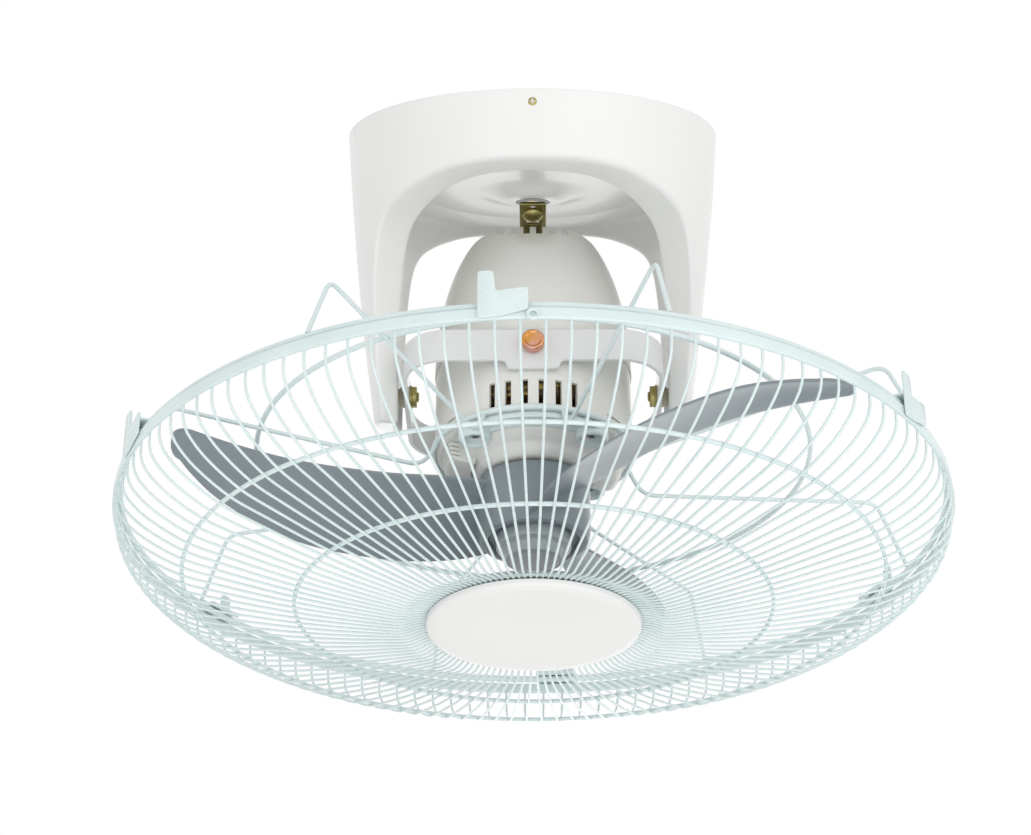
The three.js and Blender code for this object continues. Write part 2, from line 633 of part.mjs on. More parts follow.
// Pin on the canopy's axis that the crank's tip turns on, in a bush in the crank hole.
function makeSwivel() {
  const bore = PIN_RADIUS + CLEARANCE;
  const sleeve = CRANK_HOLE_RADIUS - CLEARANCE;
  const flange = CRANK_HOLE_RADIUS + BUSH_FLANGE;
  const bush = turned([
    [bore, -BOSS_DEPTH],
    [sleeve, -BOSS_DEPTH],
    [sleeve, swivelTop - BUSH_FLANGE_HEIGHT],
    [flange, swivelTop - BUSH_FLANGE_HEIGHT],
    [flange, swivelTop],
    [bore, swivelTop],
  ], GEAR_FACETS);
  addPiece(fan, 'swivel_bush', 'dark', bush);
  const seat = swivelTop + CLEARANCE;
  const pin = turned([
    [0, -BOSS_DEPTH],
    [PIN_RADIUS, -BOSS_DEPTH],
    [PIN_RADIUS, seat],
    [PIN_HEAD_RADIUS, seat],
    [PIN_HEAD_RADIUS, seat + PIN_HEAD_HEIGHT],
    [0, seat + PIN_HEAD_HEIGHT],
  ], SMALL_FACETS);
  addPiece(fan, 'swivel_pin', 'brass', pin);
}

// ---------------------------------------------------------------- gimbal ring, bolts and bushes
function ringOutline(inset) {
  const x = RING_HALF_X - inset;
  const y = RING_HALF_Y - inset;
  const r = RING_CORNER - inset;
  const shape = new THREE.Shape();
  shape.absarc(x - r, y - r, r, 0, Math.PI / 2);
  shape.absarc(-x + r, y - r, r, Math.PI / 2, Math.PI);
  shape.absarc(-x + r, -y + r, r, Math.PI, 1.5 * Math.PI);
  shape.absarc(x - r, -y + r, r, 1.5 * Math.PI, 2 * Math.PI);
  return shape;
}

function makeGimbalRing() {
  const option = { depth: RING_WIDTH, bevelEnabled: false, curveSegments: 5 };
  const outer = solid(new THREE.ExtrudeGeometry(ringOutline(0), option).translate(0, 0, -ringFront));
  const tall = { depth: RING_WIDTH * 2, bevelEnabled: false, curveSegments: 5 };
  const hollow = new THREE.ExtrudeGeometry(ringOutline(RING_THICKNESS), tall);
  let ring = cut(outer, solid(hollow.translate(0, 0, -RING_WIDTH)));
  [-1, 1].forEach((side) => {
    const out = side * RING_HALF_Y;
    const back = side * (RING_HALF_Y - RING_THICKNESS);
    const tab = box(
      -RING_TAB_WIDTH / 2,
      RING_TAB_WIDTH / 2,
      Math.min(out, back),
      Math.max(out, back),
      -ringFront - RING_TAB_DROP,
      0,
    );
    ring = join(ring, tab);
  });
  const boltHole = barX(SIDE_BOLT_RADIUS + CLEARANCE, -RING_HALF_X - 1, RING_HALF_X + 1);
  const rollHole = barY(ROLL_BOLT_RADIUS + CLEARANCE, -RING_HALF_Y - 1, RING_HALF_Y + 1);
  addPiece(gimbal, 'gimbal_ring', 'enamel', cut(ring, boltHole, rollHole));
}

function makeSideBolts() {
  [['left', 180], ['right', 0]].forEach(([name, side]) => {
    const face = RING_HALF_X - RING_THICKNESS - CLEARANCE;
    const nut = barX(SIDE_NUT_RADIUS, face - SIDE_NUT_LENGTH, face, 6);
    const shank = barX(SIDE_BOLT_RADIUS, face - SIDE_NUT_LENGTH - SIDE_BOLT_END, bracketArmOut + 0.2);
    const bolt = turnZ(join(nut, shank), side).translate([0, 0, -GIMBAL_DEPTH]);
    addPiece(fan, `side_bolt_${name}`, 'brass', bolt);
    const from = RING_HALF_X + CLEARANCE;
    const to = BRACKET_ARM_X - CLEARANCE;
    const bush = cut(barX(BUSH_RADIUS, from, to), barX(SIDE_BOLT_RADIUS + CLEARANCE, from - 1, to + 1));
    addPiece(fan, `side_bush_${name}`, 'nylon', turnZ(bush, side).translate([0, 0, -GIMBAL_DEPTH]));
  });
}

function makeRollBolts() {
  [['front', -1], ['back', 1]].forEach(([name, side]) => {
    const face = RING_HALF_Y + CLEARANCE;
    const end = face + ROLL_HEAD_LENGTH;
    const shank = barY(ROLL_BOLT_RADIUS, HEAD_FLAT - ROLL_BOLT_DEPTH, face + 1);
    const cap = barY(ROLL_HEAD_RADIUS, face, end);
    const dished = barY(ROLL_HEAD_RADIUS - ROLL_HEAD_LIP, end - ROLL_HEAD_DISH, end + 1);
    const bolt = cut(join(shank, cap), dished);
    addPiece(head, `roll_bolt_${name}`, 'copper', side < 0 ? turnZ(bolt, 180) : bolt);
  });
}

// ---------------------------------------------------------------- motor head
// Flats on the front and back of the head, where the gimbal ring passes.
function flats() {
  const reach = HEAD_FLAT_REACH;
  return [-1, 1].map((side) => {
    const near = side * HEAD_FLAT;
    const far = side * (HEAD_FLAT + 10);
    return box(-40, 40, Math.min(near, far), Math.max(near, far), -reach, reach);
  });
}

const rollHoles = () => barY(ROLL_BOLT_RADIUS + CLEARANCE, -HOUSING_RADIUS - 2, HOUSING_RADIUS + 2);

// The solid that the dome's skin bounds, set inwards by a wall's thickness.
function domeSolid(inset) {
  const rear = DOME_REAR + inset;
  const edge = new THREE.Vector2(DOME_EDGE_RADIUS - inset, rear);
  const curve = new THREE.CubicBezierCurve(
    new THREE.Vector2(DOME_BASE_RADIUS - inset, HOUSING_REAR - CLEARANCE),
    new THREE.Vector2(DOME_BASE_RADIUS - inset, rear + DOME_FLANK),
    edge,
    edge,
  );
  const side = curve.getPoints(DOME_STEPS).map((p) => [p.x, p.y]);
  const body = turnedHead([...side, [0, rear], [0, HOUSING_REAR - CLEARANCE]], HEAD_FACETS);
  return cut(body, ...domeFacets(inset));
}

// What lies outside the two leaning flats.
function domeFacets(inset) {
  const lean = Math.atan2(HEAD_FLAT - DOME_FACET, DOME_FACET_LENGTH);
  return [-1, 1].map((side) => {
    const block = box(-40, 40, Math.min(0, side * 30), Math.max(0, side * 30), -60, 60);
    const y = side * (DOME_FACET - inset * Math.cos(lean));
    const z = -DOME_REAR - inset * Math.sin(lean);
    return block.rotate([(side * lean * 180) / Math.PI, 0, 0]).translate([0, y, z]);
  });
}

function makeDome() {
  const opening = headDisc(DOME_OPENING_RADIUS, DOME_REAR - 1, DOME_REAR + DOME_WALL + 1, HEAD_FACETS);
  let dome = cut(domeSolid(0), domeSolid(DOME_WALL), opening);
  for (let i = 0; i < DOME_SLOTS; i += 1) {
    const x = (i - (DOME_SLOTS - 1) / 2) * DOME_SLOT_PITCH;
    const half = DOME_SLOT_WIDTH / 2;
    const from = DOME_SLOT_INNER;
    const to = DOME_FACET + 12;
    const low = -DOME_REAR - DOME_SLOT_DEPTH;
    const slot = box(x - half, x + half, from, to, low, low + 12);
    dome = cut(dome, slot, turnZ(slot, 180));
  }
  addPiece(head, 'rear_dome', 'cream', cut(dome, ...flats(), rollHoles()));
}

function makeHousing() {
  const r = HOUSING_RADIUS;
  const inside = r - HOUSING_WALL;
  const mouth = HOUSING_MOUTH_RADIUS;
  let housing = turnedHead([
    [r, HOUSING_REAR],
    [r, HOUSING_FRONT - HOUSING_SHOULDER],
    [r - 3, HOUSING_FRONT - 2.4],
    [r - 8, HOUSING_FRONT],
    [mouth, HOUSING_FRONT],
    [mouth, HOUSING_FRONT - HOUSING_WALL],
    [r - 9, HOUSING_FRONT - HOUSING_WALL],
    [inside, HOUSING_FRONT - HOUSING_SHOULDER - 1],
    [inside, HOUSING_REAR],
  ], HEAD_FACETS);
  for (let i = 0; i < VENT_COUNT; i += 1) {
    const angle = (i - (VENT_COUNT - 1) / 2) * VENT_PITCH_ANGLE;
    const half = VENT_WIDTH / 2;
    const vent = box(-half, half, -r - 2, -r + 8, -VENT_REAR - VENT_LENGTH, -VENT_REAR);
    housing = cut(housing, turnZ(vent, angle), turnZ(vent, angle + 180));
  }
  const screwHole = headDisc(GUARD_SCREW_SHANK + CLEARANCE, HOUSING_FRONT - 8, HOUSING_FRONT + 7, 8);
  for (let i = 0; i < 4; i += 1) {
    housing = cut(housing, turnZ(screwHole.translate([LUG_AT, 0, 0]), LUG_ANGLE + 90 * i));
  }
  addPiece(head, 'motor_housing', 'cream', cut(housing, ...flats(), rollHoles()));
}

// Front cover: a cone that carries the front bearing, with a pod on each side.
function makeFrontCover() {
  const spigot = HOUSING_MOUTH_RADIUS - CLEARANCE;
  const rear = HOUSING_FRONT + CLEARANCE;
  const cone = turnedHead([
    [BEARING_RADIUS + CLEARANCE, HOUSING_FRONT - HOUSING_WALL],
    [spigot, HOUSING_FRONT - HOUSING_WALL],
    [spigot, rear],
    [COVER_BASE_RADIUS, rear],
    [COVER_BASE_RADIUS - 1, rear + 4],
    [COVER_NOSE_RADIUS + 4, COVER_FRONT - 5],
    [COVER_NOSE_RADIUS, COVER_FRONT],
    [BEARING_RADIUS + CLEARANCE, COVER_FRONT],
  ]);
  let pods = turnedHead([
    [COVER_BASE_RADIUS - 6, rear],
    [POD_RADIUS - 5.5, rear],
    [POD_RADIUS - 1, rear + 1],
    [POD_RADIUS, rear + 3],
    [POD_RADIUS - 2, POD_FRONT - 3],
    [POD_RADIUS - 7, POD_FRONT],
    [COVER_BASE_RADIUS - 6, POD_FRONT],
  ]);
  pods = pods.intersect(box(-POD_RADIUS, POD_RADIUS, -POD_HALF_WIDTH, POD_HALF_WIDTH, -COVER_FRONT, 0));
  addPiece(head, 'front_cover', 'cream', join(cone, pods));
}

function makeMotorParts() {
  const statorFront = STATOR_REAR + STATOR_LENGTH;
  const coil = (from, to) => headTube(STATOR_RADIUS - WINDING_INSET, WINDING_BORE, from, to, GEAR_FACETS);
  let winding = join(
    coil(statorFront + CLEARANCE, statorFront + WINDING_REACH),
    coil(STATOR_REAR - WINDING_REACH, STATOR_REAR - CLEARANCE),
  );
  let core = headTube(STATOR_RADIUS, STATOR_BORE, STATOR_REAR, statorFront, GEAR_FACETS);
  for (let i = 0; i < STATOR_SLOTS; i += 1) {
    const half = SLOT_SIZE / 2;
    const room = half + CLEARANCE;
    const bar = box(SLOT_X - half, SLOT_X + half, -half, half, -statorFront - 1, -STATOR_REAR + 1);
    const slot = box(SLOT_X - room, SLOT_X + room, -room, room, -statorFront - 1, -STATOR_REAR + 1);
    winding = join(winding, turnZ(bar, (360 * i) / STATOR_SLOTS));
    core = cut(core, turnZ(slot, (360 * i) / STATOR_SLOTS));
  }
  addPiece(head, 'stator_core', 'steel', core);
  addPiece(head, 'stator_winding', 'copper', winding);
  const bore = SHAFT_RADIUS + CLEARANCE;
  const bearing = (front) => headTube(BEARING_RADIUS, bore, front - BEARING_LENGTH, front, GEAR_FACETS);
  addPiece(head, 'front_bearing', 'brass', bearing(COVER_FRONT));
  addPiece(head, 'rear_bearing', 'brass', bearing(GEARBOX_FRONT + CLEARANCE));
}

// Gearbox case on the back of the motor: a cup on three feet that stand on the housing's rim.
function makeGearbox() {
  const flange = (HOUSING_RADIUS - HOUSING_WALL) * Math.cos(Math.PI / HEAD_FACETS);
  const inner = GEARBOX_RADIUS - GEARBOX_WALL;
  let gearCase = turnedHead([
    [OUTPUT_SHAFT_RADIUS + CLEARANCE, GEARBOX_REAR],
    [GEARBOX_RADIUS, GEARBOX_REAR],
    [GEARBOX_RADIUS, GEARBOX_FRONT],
    [BEARING_RADIUS + CLEARANCE, GEARBOX_FRONT],
    [BEARING_RADIUS + CLEARANCE, GEARBOX_FRONT - GEARBOX_WALL],
    [inner, GEARBOX_FRONT - GEARBOX_WALL],
    [inner, GEARBOX_REAR + GEARBOX_WALL],
    [OUTPUT_SHAFT_RADIUS + CLEARANCE, GEARBOX_REAR + GEARBOX_WALL],
  ], GEAR_FACETS);
  for (let i = 0; i < 3; i += 1) {
    const from = GEARBOX_RADIUS - 1;
    const half = LEG_WIDTH / 2;
    const to = GEARBOX_RADIUS + LEG_THICKNESS;
    const leg = box(from, to, -half, half, -FOOT_FRONT, LEG_OVERLAP - GEARBOX_FRONT);
    const foot = box(from, flange - 2 * CLEARANCE, -half, half, -FOOT_FRONT, -FOOT_REAR);
    gearCase = join(gearCase, turnZ(join(leg, foot), 120 * i));
  }
  addPiece(head, 'gearbox_case', 'steel', gearCase);
}

// ---------------------------------------------------------------- rotor, cross shaft and crank
function makeRotor() {
  const wormRear = CROSS_AXIS_AT - WORM_LENGTH / 2;
  const worm = headDisc(WORM_RADIUS, wormRear, wormRear + WORM_LENGTH, SMALL_FACETS);
  const shaft = headDisc(SHAFT_RADIUS, SHAFT_REAR, SHAFT_FRONT, SMALL_FACETS);
  addPiece(head, 'motor_shaft', 'steel', join(shaft, worm));
  const bore = SHAFT_RADIUS + CLEARANCE;
  const end = STATOR_REAR + STATOR_LENGTH;
  const core = headTube(STATOR_BORE - ROTOR_GAP, bore, STATOR_REAR, end, GEAR_FACETS);
  addPiece(head, 'rotor_core', 'steel', core);
}

// One blade: its two edges joined by a thin cambered skin, from the hub to the rounded tip.
function bladeBody() {
  const across = 3;
  const rows = BLADE_STATIONS.map((station) => {
    const row = [];
    const r = BLADE_ROOT + (BLADE_TIP - BLADE_ROOT) * station.at;
    const chord = rad(station.lead - station.trail) * r;
    for (let i = 0; i <= across; i += 1) {
      const t = i / across;
      const angle = rad(station.lead + (station.trail - station.lead) * t);
      const bow = BLADE_CAMBER * chord * 4 * t * (1 - t);
      const rise = station.leadRise + (station.trailRise - station.leadRise) * t - bow;
      row.push([r * Math.cos(angle), r * Math.sin(angle), HUB_REAR + rise]);
    }
    return row;
  });
  const positions = [];
  const half = BLADE_THICKNESS / 2;
  [half, -half].forEach((shift) => {
    rows.forEach((row) => row.forEach(([x, y, at]) => positions.push(x, y, -at + shift)));
  });
  const width = across + 1;
  const layer = rows.length * width;
  const index = [];
  const quad = (a, b, c, d) => index.push(a, b, c, a, c, d);
  for (let j = 0; j < rows.length - 1; j += 1) {
    for (let i = 0; i < across; i += 1) {
      const a = j * width + i;
      quad(a, a + 1, a + width + 1, a + width);
      quad(layer + a, layer + a + width, layer + a + width + 1, layer + a + 1);
    }
    const lead = j * width;
    quad(lead, lead + width, layer + lead + width, layer + lead);
    const trail = lead + across;
    quad(trail, layer + trail, layer + trail + width, trail + width);
  }
  for (let i = 0; i < across; i += 1) {
    quad(i, layer + i, layer + i + 1, i + 1);
    const tip = layer - width + i;
    quad(tip, tip + 1, layer + tip + 1, layer + tip);
  }
  const geometry = new THREE.BufferGeometry();
  geometry.setAttribute('position', new THREE.Float32BufferAttribute(positions, 3));
  geometry.setIndex(index);
  return solid(geometry);
}

// Impeller moulding: a cup-shaped hub with a boss on the shaft, and three swept blades.
function makeImpeller() {
  const inner = HUB_RADIUS - HUB_WALL;
  const hub = turnedHead([
    [SHAFT_RADIUS + CLEARANCE, HUB_BOSS_REAR],
    [HUB_BOSS_RADIUS, HUB_BOSS_REAR],
    [HUB_BOSS_RADIUS, HUB_FRONT - HUB_WALL],
    [inner, HUB_FRONT - HUB_WALL],
    [inner, HUB_REAR],
    [HUB_RADIUS, HUB_REAR],
    [HUB_RADIUS, HUB_FRONT],
    [NUT_BASE_RADIUS + 3, HUB_FRONT],
    [NUT_BASE_RADIUS + 2, NUT_SEAT],
    [SHAFT_RADIUS + CLEARANCE, NUT_SEAT],
  ], GEAR_FACETS);
  const core = headDisc(inner + 0.6, HUB_REAR - 1, HUB_FRONT - HUB_WALL, GEAR_FACETS);
  let impeller = hub;
  for (let i = 0; i < BLADE_COUNT; i += 1) {
    impeller = join(impeller, turnZ(cut(bladeBody(), core), 180 + (360 * i) / BLADE_COUNT));
  }
  addPiece(head, 'impeller', 'blade', impeller);
}

// Threaded cap that locks the impeller on the shaft.
function makeBladeNut() {
  const base = NUT_SEAT + CLEARANCE;
  let nut = turnedHead([
    [0, NUT_FRONT],
    [NUT_FACE_RADIUS - 1, NUT_FRONT],
    [NUT_FACE_RADIUS, NUT_FRONT - 1],
    [NUT_FACE_RADIUS + 1.5, NUT_FRONT - NUT_SHOULDER],
    [NUT_BASE_RADIUS, NUT_FRONT - NUT_SHOULDER - 1],
    [NUT_BASE_RADIUS, base],
    [0, base],
  ], GEAR_FACETS);
  nut = cut(nut, headDisc(SHAFT_RADIUS + CLEARANCE, base - 1, SHAFT_FRONT + CLEARANCE, SMALL_FACETS));
  addPiece(head, 'blade_nut', 'blade', nut);
}

// Radius of a gear that reaches from its own axis to a partner's pitch surface with running clearance.
const meshing = (distance, partner) => distance - partner - CLEARANCE;
const idlerDistance = Math.hypot(IDLER_X, IDLER_Y);
const caseInside = (GEARBOX_RADIUS - GEARBOX_WALL) * Math.cos(Math.PI / GEAR_FACETS);

// Cross shaft: a wheel driven by the motor shaft's worm, and a second worm that drives the idler.
function makeCrossShaft() {
  const reach = Math.sqrt(caseInside ** 2 - (CROSS_AXIS_X + CROSS_SHAFT_RADIUS) ** 2) - CLEARANCE;
  const wheelHalf = GEAR_WIDTH / 2 + 0.5;
  const shaft = barY(CROSS_SHAFT_RADIUS, -reach, reach, 8);
  const wheel = barY(meshing(CROSS_AXIS_X, WORM_RADIUS), -wheelHalf, wheelHalf, GEAR_FACETS);
  const wormHalf = CROSS_WORM_LENGTH / 2;
  const worm = barY(CROSS_WORM_RADIUS, IDLER_Y - wormHalf, IDLER_Y + wormHalf);
  const gear = join(shaft, wheel, worm).translate([CROSS_AXIS_X, 0, -CROSS_AXIS_AT]);
  addPiece(head, 'cross_gear', 'nylon', gear);
}

// Idler: a wheel driven by the cross shaft's worm, and a pinion that drives the crank's gear.
function makeIdler() {
  const wheelRadius = meshing(CROSS_AXIS_X - IDLER_X, CROSS_WORM_RADIUS);
  const half = GEAR_WIDTH / 2;
  const rear = GEARBOX_REAR + GEARBOX_WALL + CLEARANCE;
  const front = GEARBOX_FRONT - GEARBOX_WALL - CLEARANCE;
  const shaft = headDisc(IDLER_SHAFT_RADIUS, rear, front, 8);
  const wheel = headDisc(wheelRadius, CROSS_AXIS_AT - half, CROSS_AXIS_AT + half, GEAR_FACETS);
  const pinion = headDisc(PINION_RADIUS, OUTPUT_GEAR_REAR, OUTPUT_GEAR_REAR + GEAR_WIDTH, SMALL_FACETS);
  addPiece(head, 'idler_gear', 'nylon', join(shaft, wheel, pinion).translate([IDLER_X, IDLER_Y, 0]));
}

function makeCrank() {
  const rear = OUTPUT_GEAR_REAR;
  addPiece(head, 'output_gear', 'nylon', join(
    headDisc(meshing(idlerDistance, PINION_RADIUS), rear, rear + GEAR_WIDTH, GEAR_FACETS),
    headDisc(OUTPUT_SHAFT_RADIUS, crankFront + CLEARANCE, rear + 1, SMALL_FACETS),
  ));
  const end = CRANK_END;
  const half = CRANK_WIDTH / 2;
  const corner = CRANK_CORNER;
  const plate = new THREE.Shape();
  plate.moveTo(half - corner, -end);
  plate.lineTo(half, -end + corner);
  plate.lineTo(half, CRANK_ROUND);
  plate.absarc(0, CRANK_ROUND, half, 0, Math.PI);
  plate.lineTo(-half, -end + corner);
  plate.lineTo(-half + corner, -end);
  plate.closePath();
  const option = { depth: CRANK_THICKNESS, bevelEnabled: false, curveSegments: 6 };
  const arm = solid(new THREE.ExtrudeGeometry(plate, option).translate(0, 0, -crankFront));
  const low = -crankFront - 2;
  const high = -CRANK_REAR + 2;
  const wide = CRANK_WINDOW_WIDTH / 2;
  const pinHole = disc(CRANK_PIN_HOLE, low, high, SMALL_FACETS).translate([0, -CRANK_PIN_AT, 0]);
  const window = box(-wide, wide, -CRANK_WINDOW_FAR, -CRANK_WINDOW_NEAR, low, high);
  const screwHole = disc(CRANK_SCREW_HOLE, low, high, SMALL_FACETS).translate([0, -CRANK_SCREW_AT, 0]);
  addPiece(head, 'crank_arm', 'brass', cut(arm, pinHole, window, screwHole));
  const screw = turnedHead([
    [0, crankFront + 3.2],
    [2.6, crankFront + 2.9],
    [4.7, crankFront + 1.9],
    [CRANK_SCREW_RADIUS, crankFront + CLEARANCE],
    [CRANK_SCREW_HOLE - CLEARANCE, crankFront + CLEARANCE],
    [CRANK_SCREW_HOLE - CLEARANCE, CRANK_REAR - 0.4],
    [0, CRANK_REAR - 0.4],
  ], SMALL_FACETS);
  addPiece(head, 'crank_screw', 'brass', screw.translate([0, -CRANK_SCREW_AT, 0]));
}

// ---------------------------------------------------------------- guards
// Side view of a front guard wire, as [radius, distance forwards].
const frontWire = [
  [rimInner + RIM_THICKNESS / 2, rimFront - 2],
  [RIM_RADIUS - 5, rimFront + 15],
  [RIM_RADIUS - 36, NOSE_AT - 16],
  [INNER_HOOP_RADIUS, NOSE_AT - 3.4],
  [GUARD_EYE_RADIUS, NOSE_AT],
];

// Distance forwards of the front guard's wires at a radius.
function frontWireAt(radius) {
  const i = frontWire.findIndex(([r]) => r <= radius);
  const [r0, l0] = frontWire[i - 1];
  const [r1, l1] = frontWire[i];
  return l0 + ((l1 - l0) * (radius - r0)) / (r1 - r0);
}

function makeFrontGuard() {
  const rim = headTube(RIM_RADIUS, rimInner, RIM_REAR, rimFront, RIM_FACETS);
  const eyeIn = GUARD_EYE_RADIUS - 1;
  const eyeOut = GUARD_EYE_RADIUS + 1.2;
  const eye = headTube(eyeOut, eyeIn, NOSE_AT - EYE_HALF_WIDTH, NOSE_AT + EYE_HALF_WIDTH, RIM_FACETS);
  const wires = [];
  const run = wire(frontWire.map(([r, l]) => new THREE.Vector3(0, -r, -l)), WIRE_RADIUS, 3);
  for (let i = 0; i < WIRE_COUNT; i += 1) {
    wires.push(turnZ(run, (360 * (i + 0.5)) / WIRE_COUNT));
  }
  addPiece(head, 'front_guard', 'guard', wasm.Manifold.union([rim, eye, ...wires]));
  const hoops = [['front_hoop_outer', OUTER_HOOP_RADIUS], ['front_hoop_inner', INNER_HOOP_RADIUS]];
  hoops.forEach(([name, radius]) => {
    const at = frontWireAt(radius) - WIRE_RADIUS - HOOP_WIRE - CLEARANCE;
    addPiece(head, name, 'guard', hoop(radius, HOOP_WIRE, -at));
  });
}

// Badge on the guard's nose, left plain, and the plate that clamps it from inside with one screw.
function makeBadge() {
  const badge = turnedHead([
    [0, BADGE_FRONT],
    [BADGE_RADIUS - 4, BADGE_FRONT - 0.3],
    [BADGE_RADIUS, BADGE_FRONT - BADGE_EDGE],
    [BADGE_RADIUS, BADGE_REAR],
    [BADGE_BOSS_RADIUS, BADGE_REAR],
    [BADGE_BOSS_RADIUS, BADGE_REAR - BADGE_BOSS_LENGTH],
    [0, BADGE_REAR - BADGE_BOSS_LENGTH],
  ]);
  addPiece(head, 'badge', 'shell', cut(badge, headDisc(2, BADGE_REAR - 6, BADGE_REAR + 0.6, 8)));
  const front = BADGE_REAR - PLATE_GAP;
  const plate = headTube(GUARD_EYE_RADIUS + 2, 2.4, front - PLATE_THICKNESS, front, GEAR_FACETS);
  addPiece(head, 'badge_plate', 'steel', plate);
  const screwTop = front - PLATE_THICKNESS - CLEARANCE;
  const cap = headDisc(4, screwTop - 2, screwTop, SMALL_FACETS);
  const shank = headDisc(1.7, screwTop - 1, BADGE_REAR + 0.3, 8);
  addPiece(head, 'badge_screw', 'steel', join(cap, shank));
}

// Side view of a rear guard rib: up from the hub ring, out to a peak behind the rim, and down to the rim.
function ribPath() {
  const foot = INNER_RING_AT + REAR_RING_WIRE + CLEARANCE;
  const heel = rearRimAt - REAR_RIM_WIRE - CLEARANCE;
  return rounded([
    [INNER_RING_RADIUS + 0.4, foot],
    [RIB_DIP_RADIUS, RIB_DIP],
    [RIB_PEAK_RADIUS, RIB_PEAK],
    [REAR_RIM_RADIUS, heel],
  ], RIB_BEND, 2);
}

function ribAt(radius) {
  const t = (radius - RIB_DIP_RADIUS) / (RIB_PEAK_RADIUS - RIB_DIP_RADIUS);
  return RIB_DIP + (RIB_PEAK - RIB_DIP) * t;
}

function makeRearGuard() {
  addPiece(head, 'rear_rim', 'guard', hoop(REAR_RIM_RADIUS, REAR_RIM_WIRE, -rearRimAt));
  const midAt = ribAt(MID_RING_RADIUS) - RIB_WIRE - REAR_RING_WIRE - CLEARANCE;
  addPiece(head, 'rear_mid_ring', 'guard', hoop(MID_RING_RADIUS, REAR_RING_WIRE, -midAt));
  const hubRing = hoop(INNER_RING_RADIUS, REAR_RING_WIRE, -INNER_RING_AT, HEAD_FACETS);
  addPiece(head, 'rear_hub_ring', 'guard', hubRing);
  const rib = wire(ribPath().map(([r, l]) => new THREE.Vector3(r, 0, -l)), RIB_WIRE, 5);
  for (let i = 0; i < RIB_COUNT; i += 1) {
    addPiece(head, `rear_rib_${i + 1}`, 'guard', turnZ(rib, RIB_FIRST_ANGLE + (360 * i) / RIB_COUNT));
  }
}

// Pressed brackets that hold the rear guard on the motor: an arc of plate with a screw cup at each end.
function makeGuardBrackets() {
  const rear = HOUSING_FRONT + CLEARANCE;
  const front = rear + BAND_THICKNESS;
  const span = rad(LUG_ANGLE + 4);
  const band = headTube(INNER_RING_RADIUS - 1.6, COVER_BASE_RADIUS + 0.6, rear, front);
  const wedge = new THREE.Shape();
  const reach = 2 * HOUSING_RADIUS;
  wedge.moveTo(0, 0);
  wedge.lineTo(-reach * Math.sin(span), -reach * Math.cos(span));
  wedge.lineTo(0, -2 * reach);
  wedge.lineTo(reach * Math.sin(span), -reach * Math.cos(span));
  wedge.closePath();
  const sector = new THREE.ExtrudeGeometry(wedge, { depth: reach, bevelEnabled: false });
  let bracket = band.intersect(solid(sector.translate(0, 0, -reach)));
  [-LUG_ANGLE, LUG_ANGLE].forEach((angle) => {
    const cup = turnedHead([
      [2.6, rear],
      [LUG_RADIUS, rear],
      [LUG_RADIUS - 0.8, front + LUG_HEIGHT],
      [LUG_RADIUS - 2.6, front + LUG_HEIGHT],
      [4.6, front],
      [2.6, front],
    ], SMALL_FACETS);
    const clear = headDisc(COVER_BASE_RADIUS + 0.4, rear - 1, COVER_FRONT + 5);
    bracket = join(bracket, turnZ(cup.translate([0, -LUG_AT, 0]), angle));
    const screwHole = headDisc(2.6, rear - 1, front + 8, 8).translate([0, -LUG_AT, 0]);
    bracket = cut(bracket, clear, turnZ(screwHole, angle));
  });
  addPiece(head, 'guard_bracket_front', 'guard', bracket);
  addPiece(head, 'guard_bracket_back', 'guard', turnZ(bracket, 180));
  for (let i = 0; i < 4; i += 1) {
    const shank = headDisc(GUARD_SCREW_SHANK, HOUSING_FRONT - HOUSING_WALL - 1.2, front + 1, 8);
    const cap = headDisc(GUARD_SCREW_RADIUS, front + CLEARANCE, front + 2.6, SMALL_FACETS);
    const screw = join(shank, cap).translate([LUG_AT, 0, 0]);
    addPiece(head, `guard_screw_${i + 1}`, 'steel', turnZ(screw, LUG_ANGLE + 90 * i));
  }
}

// Spring-steel clips that lock the two guards together at the rim. Each swings out about its front edge.
function clipBody() {
  const half = CLIP_WIDTH / 2;
  const wallIn = RIM_RADIUS + CLEARANCE;
  const wallOut = wallIn + CLIP_SHEET;
  const rear = rearRimAt - REAR_RIM_WIRE - CLEARANCE - CLIP_SHEET;
  const wall = box(wallIn, wallOut, -half, half, -rimFront, -rear);
  const back = box(wallIn - CLIP_HOOK, wallOut, -half, half, -rear - CLIP_SHEET, -rear);
  const tab = box(wallIn, wallOut, -half, -half + CLIP_TAB_WIDTH, -rear - 1, -rear + CLIP_TAB_REACH);
  return join(wall, back, tab);
}

function makeClips() {
  const clip = clipBody();
  for (let i = 0; i < CLIP_COUNT; i += 1) {
    addPiece(head, `rim_clip_${i + 1}`, 'guard', turnZ(clip, CLIP_FIRST_ANGLE + (360 * i) / CLIP_COUNT));
  }
}

// ---------------------------------------------------------------- the fan
makeCanopy();
makeHanger();
makeCanopyScrews();
makeTerminalBlock();
makeSwivel();
makeGimbalRing();
makeSideBolts();
makeRollBolts();
makeDome();
makeHousing();
makeFrontCover();
makeMotorParts();
makeGearbox();
makeRotor();
makeImpeller();
makeBladeNut();
makeCrossShaft();
makeIdler();
makeCrank();
makeFrontGuard();
makeBadge();
makeRearGuard();
makeGuardBrackets();
makeClips();

export default fan;
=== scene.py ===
"""Looks of the orbital ceiling fan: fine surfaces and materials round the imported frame.

Shapes are written in millimetres. A fan shape is in the row frame, with the ceiling at z = 0. A head
shape is in the tilted head's frame, whose origin is the crossing of the gimbal axes, and an (r, l)
outline there gives a radius and a distance forwards along the head's axis.
"""

import json
import math

import bmesh
import bpy
import numpy as np
from mathutils import Matrix, Vector


